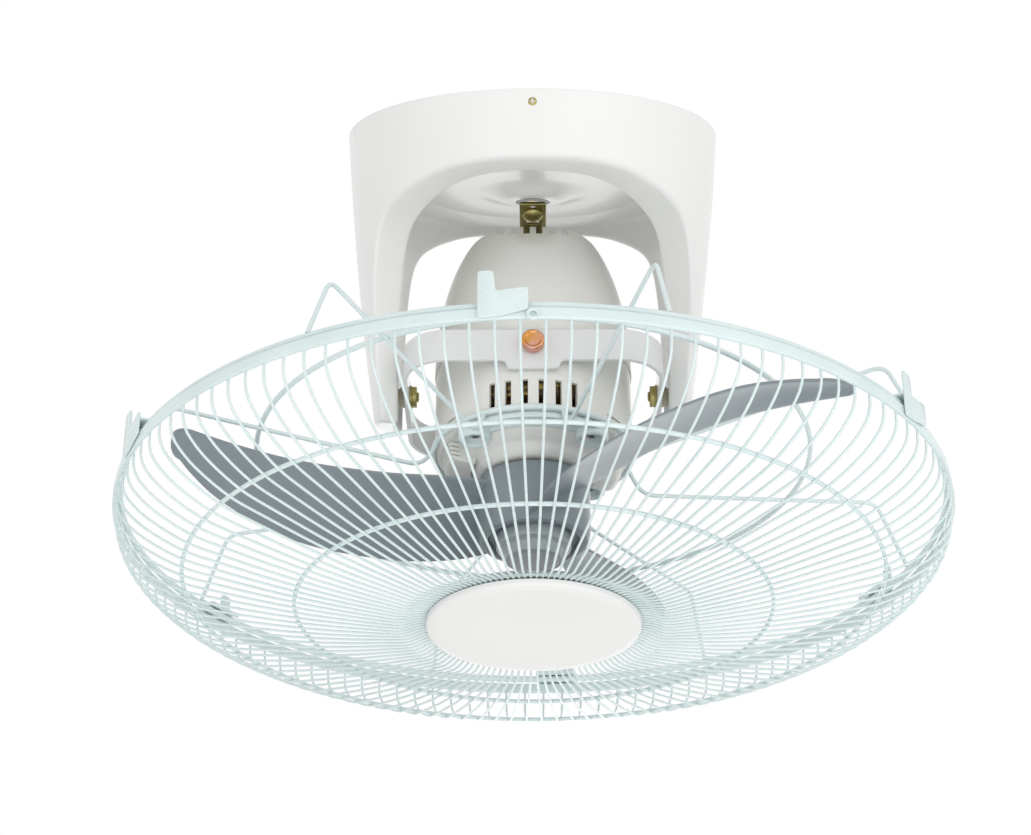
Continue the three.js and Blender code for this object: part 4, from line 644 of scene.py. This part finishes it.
def rear_dome():
    """An outer and an inner skin joined at both rims, with slots cut across the front and back edges."""
    skins = [dome_skin(0, 1.4), dome_skin(DOME_WALL, 0.4)]
    rows = []
    for angle in np.linspace(0, 2 * np.pi, 180, endpoint=False):
        column = []
        for line, limit in skins:
            reach = limit / max(abs(math.sin(angle)), 0.05)
            radius = -DOME_BLEND * np.log(np.exp(-line[:, 0] / DOME_BLEND) + np.exp(-reach / DOME_BLEND))
            column.append(np.stack([radius * math.cos(angle), radius * math.sin(angle), -line[:, 1]], 1))
        rows.append(np.vstack([column[0], column[1][::-1]]))
    slots = []
    half = SLOT_WIDTH / 2
    for i in range(SLOT_COUNT):
        x = (i - (SLOT_COUNT - 1) / 2) * SLOT_PITCH
        for side in (-1, 1):
            near, far = sorted((side * SLOT_INNER, side * (DOME_FACET + 12)))
            slots.append(slab([(x - half, near), (x + half, near), (x + half, far), (x - half, far)],
                              -DOME_REAR - SLOT_DEPTH, -DOME_REAR + 4))
    piece("rear_dome", flattened(table(rows, around=True, along=True)), HEAD, cuts=slots, bevel=0.25,
          angle=50)


rear_dome()

VENT_REAR = 19.6
VENT_FRONT = 34.8
VENT_HALF_ANGLE = 1.8
VENT_ANGLES = (-24, -14.4, -4.8, 4.8, 14.4, 24)
SLIT_FROM = 47                    # short slits near the pods, degrees from the front or the back
SLIT_TO = 60
SLIT_REAR = 31.3
SLIT_FRONT = 32.6


def motor_housing():
    """A drum with a row of vents between two short slits at the front, and the same at the back."""
    outline = rounded([(HOUSING_RADIUS - 0.6, -10.6), (HOUSING_RADIUS, -10.2), (HOUSING_RADIUS, VENT_REAR),
                       (HOUSING_RADIUS, 38.6), (45.5, 38.2), (36, 38.2)],
                      (0, 0.4, 0, 9.5, 3, 0), steps=9)
    extra = [(np.interp(l, outline[:, 1], outline[:, 0]), l)
             for l in (VENT_FRONT - 1.2, 28, SLIT_REAR, SLIT_FRONT)]
    outline = np.array(sorted([tuple(p) for p in outline if p[1] < 38.1] + extra, key=lambda p: p[1])
                       + [tuple(p) for p in outline if p[1] >= 38.1])
    cuts = np.concatenate([np.array([-VENT_HALF_ANGLE, VENT_HALF_ANGLE]) + v for v in VENT_ANGLES])
    ends = np.array([-SLIT_TO, -SLIT_FROM, SLIT_FROM, SLIT_TO])
    marks = np.concatenate([cuts - 90, cuts + 90, ends - 90, ends + 90, np.arange(-57.5, 60, 5),
                            np.arange(122.5, 240, 5)])
    marks = np.unique(np.round(np.mod(marks, 360), 3))
    middle = (marks + np.diff(np.append(marks, marks[0] + 360)) / 2) % 360
    from_front, from_back = [(middle - face + 180) % 360 - 180 for face in (270, 90)]
    side = np.where(np.abs(from_back) < 90, from_back, from_front)
    vented = np.array([np.min(np.abs(np.array(VENT_ANGLES) - angle)) < 0.5 for angle in side])
    level = (outline[:-1, 1] + outline[1:, 1]) / 2
    open_rows = (level > VENT_REAR) & (level < VENT_FRONT)
    slit = (np.abs(side) > SLIT_FROM) & (np.abs(side) < SLIT_TO)
    slit_rows = (level > SLIT_REAR) & (level < SLIT_FRONT)
    shape = lathe_head(outline, angles=marks, closed=False,
                       skip=lambda i, j: bool(vented[i] and open_rows[j] or slit[i] and slit_rows[j]))
    piece("motor_housing", flattened(shape), HEAD, shell=2.4, bevel=0.25, angle=50)


motor_housing()

COVER_FRONT = 53
POD_RADIUS = 49.5
POD_HALF_ANGLE = 24.5
LOUVRE_COUNT = 3
LOUVRE_REAR = 40.6
LOUVRE_PITCH = 2.5
LOUVRE_DEPTH = 5.5


def front_cover():
    """A stepped cone with a louvred pod on each side."""
    cone = lathe_head(rounded([(11.3, 39), (41, 38.5), (40.8, 41.2), (37.5, 44.2), (33.6, 46.2), (32.4, 49.5),
                               (29.6, 52.2), (27, COVER_FRONT), (11.3, COVER_FRONT)],
                              (0, 0.5, 1.5, 2.5, 2, 1.5, 1.5, 1, 0), steps=4, closed=True), count=120)
    pod = [(34, 38.5), (POD_RADIUS - 0.3, 38.5), (POD_RADIUS, 39.3)]
    for i in range(LOUVRE_COUNT):
        r, l = POD_RADIUS - 0.55 * i, LOUVRE_REAR + LOUVRE_PITCH * i
        pod += [(r, l), (r - LOUVRE_DEPTH, l + 0.2), (r - LOUVRE_DEPTH, l + 1.0), (r - 0.3, l + 1.2)]
    pod += [(47.6, 48.0), (44.5, 49.4), (34, 49.4)]
    pods = [part_turn(pod, np.linspace(side - POD_HALF_ANGLE, side + POD_HALF_ANGLE, 25))
            for side in (0, 180)]
    piece("front_cover", merged(cone, *pods), HEAD, bevel=0.3, angle=50)


front_cover()

# ---------------------------------------------------------------- crank strap at the back
CRANK_REAR = -100.5
CRANK_SHEET = 1.8
CRANK_HALF = 7.4
CRANK_END = 44.3
CRANK_SCREW_AT = 34.4
CRANK_WINDOW = (-28.7, -24.1)     # from and to, along the strap
CRANK_PIN_HOLE = (-42.1, -38.7)


def crank():
    """The strap that turns over the dome, with its window and pin hole, and the screw that holds it."""
    low, high = -(CRANK_REAR + CRANK_SHEET), -CRANK_REAR
    side = CRANK_HALF
    outline = rounded([(-side + 1, 11), (side - 1, 11), (side, 0), (side, -CRANK_END), (-side, -CRANK_END),
                       (-side, 0)], (6, 6, 3, 1.5, 1.5, 3), steps=4, closed=True)

    def hole(half, ends, radius):
        corners = [(-half, ends[0]), (half, ends[0]), (half, ends[1]), (-half, ends[1])]
        return slab(rounded(corners, radius, closed=True), low - 2, high + 2)

    holes = [hole(3.5, CRANK_WINDOW, 0.9), hole(1.7, CRANK_PIN_HOLE, 1.7)]
    piece("crank_arm", slab(outline, low, high), HEAD, cuts=holes, bevel=0.3, angle=50)
    top = rounded([(0, 3.3), (3.4, 2.9), (5.4, 1.6), (5.8, 0.5), (5.6, 0.2), (2, 0.2), (2, -2.2), (0, -2.2)],
                  (0, 3, 1, 0.3, 0.2, 0.1, 0.1, 0), steps=4)
    groove = slab([(-7, -0.55), (7, -0.55), (7, 0.55), (-7, 0.55)], 2.1, 5)
    place = (0, -CRANK_SCREW_AT, -(CRANK_REAR + CRANK_SHEET))
    piece("crank_screw", moved(laid(lathe(top, count=48, closed=False), TO_REAR), place), HEAD,
          cuts=[moved(laid(groove, TO_REAR), place)], bevel=0.12, angle=50)


crank()

# ---------------------------------------------------------------- impeller
HUB_RADIUS = 30.7
HUB_REAR = 55.4
HUB_FRONT = 90
BLADE_SHEET = 2.0
BLADES = 3
NUT_RIBS = 12
# Radius, then the rear and the front edge of a blade, each as an angle and a distance along the axis.
STATIONS = [(26.5, 39, 61.6, -37, 87), (45, 29.5, 61.4, -29.5, 88.6), (70, 21.6, 61.6, -21.5, 88.3),
            (95, 19.2, 62, -14.2, 86.5), (130, 19.3, 62.5, -5.5, 82), (165, 21.8, 63, 5, 73.2),
            (182, 23.4, 63.4, 11.8, 68.8), (191, 24.2, 63.6, 15.9, 66.6)]
TIP_RADIUS = 199


def blade():
    """A swept blade with a rounded tip, of thin cross-sections from edge to edge at growing radii."""
    smooth = through(STATIONS, 5)
    tip = []
    for share in (0.35, 0.62, 0.82, 0.94, 0.99):
        radius = STATIONS[-1][0] + (TIP_RADIUS - STATIONS[-1][0]) * share
        _, lead, lead_at, trail, trail_at = STATIONS[-1]
        drift = (radius - STATIONS[-1][0]) * 0.12
        middle = (lead * 0.62 + trail * 0.38) + drift
        narrow = math.sqrt(1 - share ** 2)
        tip.append((radius, middle + (lead - middle + drift) * narrow, lead_at + 0.2,
                    middle + (trail - middle + drift) * narrow, lead_at + (trail_at - lead_at) * narrow))
    across = 22
    t = (1 - np.cos(np.linspace(0, np.pi, across + 1))) / 2
    upper, lower = [], []
    for r, lead, lead_at, trail, trail_at in np.vstack([smooth, tip]):
        angle = np.radians(lead + (trail - lead) * t)
        chord = math.radians(abs(lead - trail)) * r
        place = lead_at + (trail_at - lead_at) * t - 0.055 * chord * 4 * t * (1 - t)
        half = BLADE_SHEET / 2 * np.sqrt(np.clip(1 - (2 * t - 1) ** 10, 0.0, 1)) + 0.12
        base = np.stack([r * np.cos(angle), r * np.sin(angle), -place], 1)
        upper.append(base + np.outer(half, (0, 0, 1)))
        lower.append(base - np.outer(half, (0, 0, 1)))
    rows = np.concatenate([np.array(upper), np.array(lower)[:, ::-1]], axis=1)
    return capped(rows)


def impeller():
    """A hub with its blades joined on, and the ribbed nut that holds it."""
    hub = lathe_head(rounded([(4.3, 61.4), (9, 61.4), (9, 84), (27.7, 84), (27.7, HUB_REAR),
                              (HUB_RADIUS - 0.4, HUB_REAR), (HUB_RADIUS, HUB_REAR + 1),
                              (HUB_RADIUS, HUB_FRONT - 5), (HUB_RADIUS - 1.8, HUB_FRONT), (25, HUB_FRONT),
                              (23.4, 86.5), (4.3, 86.5)],
                             (0, 0, 2, 2, 0.6, 0.3, 1, 3, 1.4, 1, 0.8, 0), steps=4, closed=True), count=120)
    vanes = [turned_z(blade(), 180 + 360 * i / BLADES) for i in range(BLADES)]
    core = rod(28.6, -95, -50, count=60)
    fitted = []
    for i, vane in enumerate(vanes):
        thing = solid(f"blade_{i}", vane, cuts=[core])
        points = np.array([v.co for v in thing.data.vertices])
        fitted.append((points, [tuple(p.vertices) for p in thing.data.polygons]))
        bpy.data.meshes.remove(thing.data)
    piece("impeller", hub, HEAD, joins=fitted, angle=38)
    skirt = [(0, 101.5), (12.6, 101.5), (13.4, 100.6), (15.2, 100.9), (16.4, 95), (20.2, 93.8), (20.5, 88.5),
             (20, 86.6), (0, 86.6)]
    nut = lathe_head(rounded(skirt, (0, 0.5, 0.4, 0.8, 1.2, 1.2, 0.5, 0.3, 0), steps=4), count=120,
                     closed=False)
    rib = tube([(15.0, 0, -100.2), (16.5, 0, -94.4)], 0.75, 8)
    ribs = [turned_z(rib, 360 * i / NUT_RIBS) for i in range(NUT_RIBS)]
    piece("blade_nut", merged(nut, *ribs), HEAD, material=clear_nut, angle=38)


impeller()

# ---------------------------------------------------------------- wire guards
HOOPS = (("front_hoop_outer", 184.5), ("front_hoop_inner", 125.6))
HOOP_WIRE = 1.15
# Side view of a front wire, (r, l): off the rim, round its bend, in to the nose and back behind the badge.
FRONT_WIRE = [(RIM_RADIUS - RIM_THICKNESS + 0.3, 83.5), (220.6, 96.5), (210.5, 106.8), (197.5, 114.3),
              (184, 120.2), (125.6, 132.3), (69, 139.4), (62.5, 136.4), (55.2, 136.1)]
FRONT_BENDS = (0, 14, 12, 12, 12, 30, 5, 4, 0)
EYE_RADIUS = 55.2                 # ring of wire behind the badge
EYE_AT = 134.2
RING_WIRE = 1.5                   # this ring, and the rear guard's middle and hub rings
CURL_AT = 84.5                    # curl of wire at the top of the rim
CURL_SIZE = 2.4


def front_guard():
    """The rim band, the radial wires, the ring behind the badge, and the two hoops inside the wires."""
    side = resampled(rounded(FRONT_WIRE, FRONT_BENDS, steps=6), 4.2)
    run = tube([(0, -r, -l) for r, l in side], WIRE, 8)
    wires = [turned_z(run, 360 * (i + 0.5) / WIRE_COUNT) for i in range(WIRE_COUNT)]
    front = RIM_REAR + RIM_WIDTH
    inner = RIM_RADIUS - RIM_THICKNESS
    rim = lathe_head(rounded([(inner, RIM_REAR), (RIM_RADIUS, RIM_REAR), (RIM_RADIUS, front), (inner, front)],
                             1.0, steps=4, closed=True), count=360)
    eye = hoop(EYE_RADIUS, RING_WIRE, EYE_AT, count=160, sides=10)
    reach = RIM_RADIUS + 0.6
    curl = []
    for a in np.linspace(0, 1.7 * np.pi, 18):
        turn = CURL_SIZE * math.cos(a) / reach - math.pi / 2
        curl.append(((reach + 0.3) * math.cos(turn), (reach + 0.3) * math.sin(turn),
                     -(CURL_AT - CURL_SIZE * math.sin(a))))
    piece("front_guard", merged(rim, eye, tube(curl, 1.0, 8), *wires), HEAD, angle=50)
    line = np.array(side)
    for node, radius in HOOPS:
        at = np.interp(radius, line[::-1, 0], line[::-1, 1]) - WIRE - HOOP_WIRE + 0.2
        piece(node, hoop(radius, HOOP_WIRE, at), HEAD)


front_guard()

RIB_WIRE = 1.15
RIB_COUNT = 8
RIB_FIRST_ANGLE = 16.5
RIB_SIDE = [(54.9, 38.6), (62.5, 52.4), (203, 37.3), (219.3, 75.6)]
MID_RING_RADIUS = 150.2
HUB_RING_RADIUS = 54.8
HUB_RING_AT = 37


def rear_guard():
    """Bent wire ribs from the hub ring to the rear rim, over a middle ring."""
    side = resampled(rounded(RIB_SIDE, (0, 9, 7, 0), steps=8), 2.6)
    rib = tube([(r, 0, -l) for r, l in side], RIB_WIRE, 12)
    for i in range(RIB_COUNT):
        piece(f"rear_rib_{i + 1}", turned_z(rib, RIB_FIRST_ANGLE + 360 / RIB_COUNT * i), HEAD, angle=50)
    piece("rear_rim", hoop(REAR_RIM_RADIUS, REAR_RIM_WIRE, REAR_RIM_AT, count=300), HEAD)
    line = np.array(side)
    slope = line[(line[:, 0] > 70) & (line[:, 0] < 190)]
    middle = np.interp(MID_RING_RADIUS, slope[:, 0], slope[:, 1]) - RIB_WIRE - RING_WIRE + 0.2
    piece("rear_mid_ring", hoop(MID_RING_RADIUS, RING_WIRE, middle), HEAD)
    piece("rear_hub_ring", hoop(HUB_RING_RADIUS, RING_WIRE, HUB_RING_AT, count=120), HEAD)


rear_guard()

LUG_AT = 44
LUG_ANGLE = 45
BRACKET_REAR = 38.5


def guard_bracket(turn):
    """An arched sheet with a turned-up rim, between two screw cups."""
    section = rounded([(41.2, BRACKET_REAR), (53.0, BRACKET_REAR), (53.2, BRACKET_REAR + 3.4),
                       (51.8, BRACKET_REAR + 3.5), (51.4, BRACKET_REAR + 1.5), (42.8, BRACKET_REAR + 1.5),
                       (42.6, BRACKET_REAR + 2.8), (41.2, BRACKET_REAR + 2.8)], 0.6, steps=3, closed=True)
    angles = np.linspace(-LUG_ANGLE - 3.5, LUG_ANGLE + 3.5, 61) - 90 + turn
    shapes = [part_turn(section, angles)]
    cup = lathe_head(rounded([(2.2, BRACKET_REAR), (9.2, BRACKET_REAR), (9.0, BRACKET_REAR + 5.2),
                              (7.6, BRACKET_REAR + 6.6), (5.9, BRACKET_REAR + 5.8), (4.8, BRACKET_REAR + 2.0),
                              (2.2, BRACKET_REAR + 1.6)],
                             (0, 0.8, 1.2, 1.2, 1.2, 1, 0), steps=4, closed=True), count=48)
    for angle in (-LUG_ANGLE, LUG_ANGLE):
        shapes.append(turned_z(moved(cup, (0, -LUG_AT, 0)), angle + turn))
    return merged(*shapes)


for node, turn in (("guard_bracket_front", 0), ("guard_bracket_back", 180)):
    piece(node, guard_bracket(turn), HEAD, angle=45)
for i in range(4):
    head, cross = screw_head(3.4, 2.0, 2.0)
    seat = (LUG_AT, 0, -(BRACKET_REAR + 1.7))
    shapes = [moved(laid(s, TO_REAR), seat) for s in (head, *cross)]
    stem = moved(rod(1.6, 0, 5), seat)
    placed = [turned_z(s, LUG_ANGLE + 90 * i) for s in (*shapes, stem)]
    piece(f"guard_screw_{i + 1}", placed[0], HEAD, cuts=placed[1:3], joins=placed[3:], bevel=0.12,
          angle=50)

# ---------------------------------------------------------------- badge and rim clips
badge_profile = rounded([(0, BADGE_FRONT), (BADGE_RADIUS - 5, BADGE_FRONT - 0.5),
                         (BADGE_RADIUS - 0.6, BADGE_FRONT - 1.9), (BADGE_RADIUS, BADGE_REAR),
                         (BADGE_RADIUS - 2, BADGE_REAR), (BADGE_RADIUS - 2.4, BADGE_REAR + 1),
                         (6, BADGE_REAR + 1), (6, BADGE_REAR - 4), (0, BADGE_REAR - 4)],
                        (0, 6, 1.2, 0.4, 0.3, 0.4, 0.4, 0.3, 0), steps=6)
piece("badge", lathe_head(badge_profile, count=144, closed=False), HEAD, angle=50)
plate_profile = rounded([(2.4, 132.5), (57.2, 132.5), (58, 133.9), (56.9, 134.1), (56.2, 133.3),
                         (2.4, 133.3)],
                        (0, 0.5, 0.4, 0.4, 0.5, 0), steps=3, closed=True)
piece("badge_plate", lathe_head(plate_profile, count=120), HEAD, angle=50)

CLIP_COUNT = 6
CLIP_FIRST_ANGLE = -93.5
CLIP_HALF = 11.5
CLIP_SHEET = 1.2
CLIP_TAB = 7.2
CLIP_REACH = 13
HOOK_RADIUS = 216.2               # where the hook behind the rims ends


def clip():
    """A bent strip: a wall outside the rims, a hook behind them and a thumb tab at one end."""
    wall = RIM_RADIUS + 0.3
    rear = REAR_RIM_AT - REAR_RIM_WIRE - 0.3 - CLIP_SHEET
    front = RIM_REAR + RIM_WIDTH
    tab = -CLIP_HALF + CLIP_TAB
    outline = rounded([(-CLIP_HALF, -front), (tab + 2, -front + 0.6), (CLIP_HALF, -RIM_REAR - 2.2),
                       (CLIP_HALF, -rear + 3.6), (CLIP_HALF - 4, -rear + 3.4), (tab + 1, -rear + 2.0),
                       (tab, -rear + CLIP_REACH), (-CLIP_HALF, -rear + CLIP_REACH)],
                      (1.2, 3, 0.8, 0.8, 2, 1.6, 2, 2), steps=4, closed=True)
    upright = laid(slab(outline, wall, wall + CLIP_SHEET), TO_RIGHT)
    hook_side = rounded([(wall + 0.6, -rear + 0.6), (HOOK_RADIUS, -rear + 0.6), (HOOK_RADIUS, -rear - 2.0)],
                        1.2, steps=3)
    half = CLIP_SHEET / 2
    normal = np.gradient(hook_side, axis=0)
    normal /= np.linalg.norm(normal, axis=1)[:, None]
    normal = np.stack([-normal[:, 1], normal[:, 0]], 1)
    loop = np.vstack([hook_side + normal * half, (hook_side - normal * half)[::-1]])
    hook = capped([[(x, y, z) for x, z in loop] for y in (-CLIP_HALF + 0.4, CLIP_HALF - 0.4)])
    return merged(upright, hook)


for i in range(CLIP_COUNT):
    piece(f"rim_clip_{i + 1}", turned_z(clip(), CLIP_FIRST_ANGLE + 360 / CLIP_COUNT * i), HEAD, bevel=0.35,
          angle=50)

# ---------------------------------------------------------------- stage, light and camera
FLOOR_DEPTH = 1.5                 # from here on, metres
FLOOR_HALF = 6
WORLD_LIGHT = 0.88
PHOTO_WIDTH = 1031                # pixels
FOCAL_PIXELS = 2230.55
SHIFT_PIXELS = -17.89
SENSOR = 36
CAMERA_AT = (0, -1.224, -0.3275)
CAMERA_PITCH = 7.88               # degrees, upwards
CAMERA_ROLL = -0.17


def stage_material():
    """A pale floor that the camera sees as plain white."""
    material = bpy.data.materials.new("stage_white")
    material.use_nodes = True
    nodes, links = material.node_tree.nodes, material.node_tree.links
    shader = nodes["Principled BSDF"]
    shader.inputs["Base Color"].default_value = (0.8, 0.8, 0.8, 1)
    shader.inputs["Roughness"].default_value = 0.9
    shader.inputs["Specular IOR Level"].default_value = 0.0
    glow = nodes.new("ShaderNodeEmission")
    glow.inputs["Color"].default_value = (1, 1, 1, 1)
    path = nodes.new("ShaderNodeLightPath")
    mix = nodes.new("ShaderNodeMixShader")
    links.new(path.outputs["Is Camera Ray"], mix.inputs["Fac"])
    links.new(shader.outputs["BSDF"], mix.inputs[1])
    links.new(glow.outputs["Emission"], mix.inputs[2])
    links.new(mix.outputs["Shader"], nodes["Material Output"].inputs["Surface"])
    return material


def make_stage():
    """The floor, and an even world that the camera and glossy surfaces see as plain white."""
    square = [(x * FLOOR_HALF, y * FLOOR_HALF, -FLOOR_DEPTH) for x, y in ((-1, -1), (1, -1), (1, 1), (-1, 1))]
    mesh = mesh_of("floor", (square, [(0, 1, 2, 3)]))
    floor = bpy.data.objects.new("floor", mesh)
    bpy.context.scene.collection.objects.link(floor)
    mesh.materials.append(stage_material())
    world = bpy.data.worlds.new("studio")
    bpy.context.scene.world = world
    world.use_nodes = True
    nodes, links = world.node_tree.nodes, world.node_tree.links
    path = nodes.new("ShaderNodeLightPath")
    seen = nodes.new("ShaderNodeMath")
    seen.operation = "MAXIMUM"
    links.new(path.outputs["Is Camera Ray"], seen.inputs[0])
    links.new(path.outputs["Is Glossy Ray"], seen.inputs[1])
    strength = nodes.new("ShaderNodeMapRange")
    strength.inputs["To Min"].default_value = WORLD_LIGHT
    strength.inputs["To Max"].default_value = 1.0
    links.new(seen.outputs["Value"], strength.inputs["Value"])
    links.new(strength.outputs["Result"], nodes["Background"].inputs["Strength"])
    nodes["Background"].inputs["Color"].default_value = (1, 1, 1, 1)


def lamp(name, place, target, size, energy):
    light = bpy.data.lights.new(name, "AREA")
    light.shape = "DISK"
    light.size = size
    light.energy = energy
    thing = bpy.data.objects.new(name, light)
    bpy.context.scene.collection.objects.link(thing)
    thing.location = place
    thing.rotation_euler = (Vector(target) - Vector(place)).to_track_quat("-Z", "Y").to_euler()


def make_camera():
    """The camera fitted to the photograph."""
    camera = bpy.data.cameras.new("camera")
    camera.sensor_fit = "HORIZONTAL"
    camera.sensor_width = SENSOR
    camera.lens = FOCAL_PIXELS * SENSOR / PHOTO_WIDTH
    camera.shift_x = SHIFT_PIXELS / PHOTO_WIDTH
    camera.clip_end = 50
    thing = bpy.data.objects.new("camera", camera)
    bpy.context.scene.collection.objects.link(thing)
    pitch = Matrix.Rotation(math.radians(90 + CAMERA_PITCH), 4, "X")
    roll = Matrix.Rotation(math.radians(CAMERA_ROLL), 4, "Z")
    thing.matrix_world = Matrix.Translation(CAMERA_AT) @ pitch @ roll
    bpy.context.scene.camera = thing


make_stage()
lamp("key", (1.3, -1.9, 0.2), (0, 0, -0.15), 2.2, 7)
lamp("low_fill", (0.1, -1.3, -1.25), (0, 0, -0.1), 2.4, 16)
lamp("back", (0.2, 1.9, -0.5), (0, 0, -0.1), 2.0, 8)
make_camera()
bpy.context.scene.view_settings.view_transform = "Standard"

bpy.context.view_layer.update()
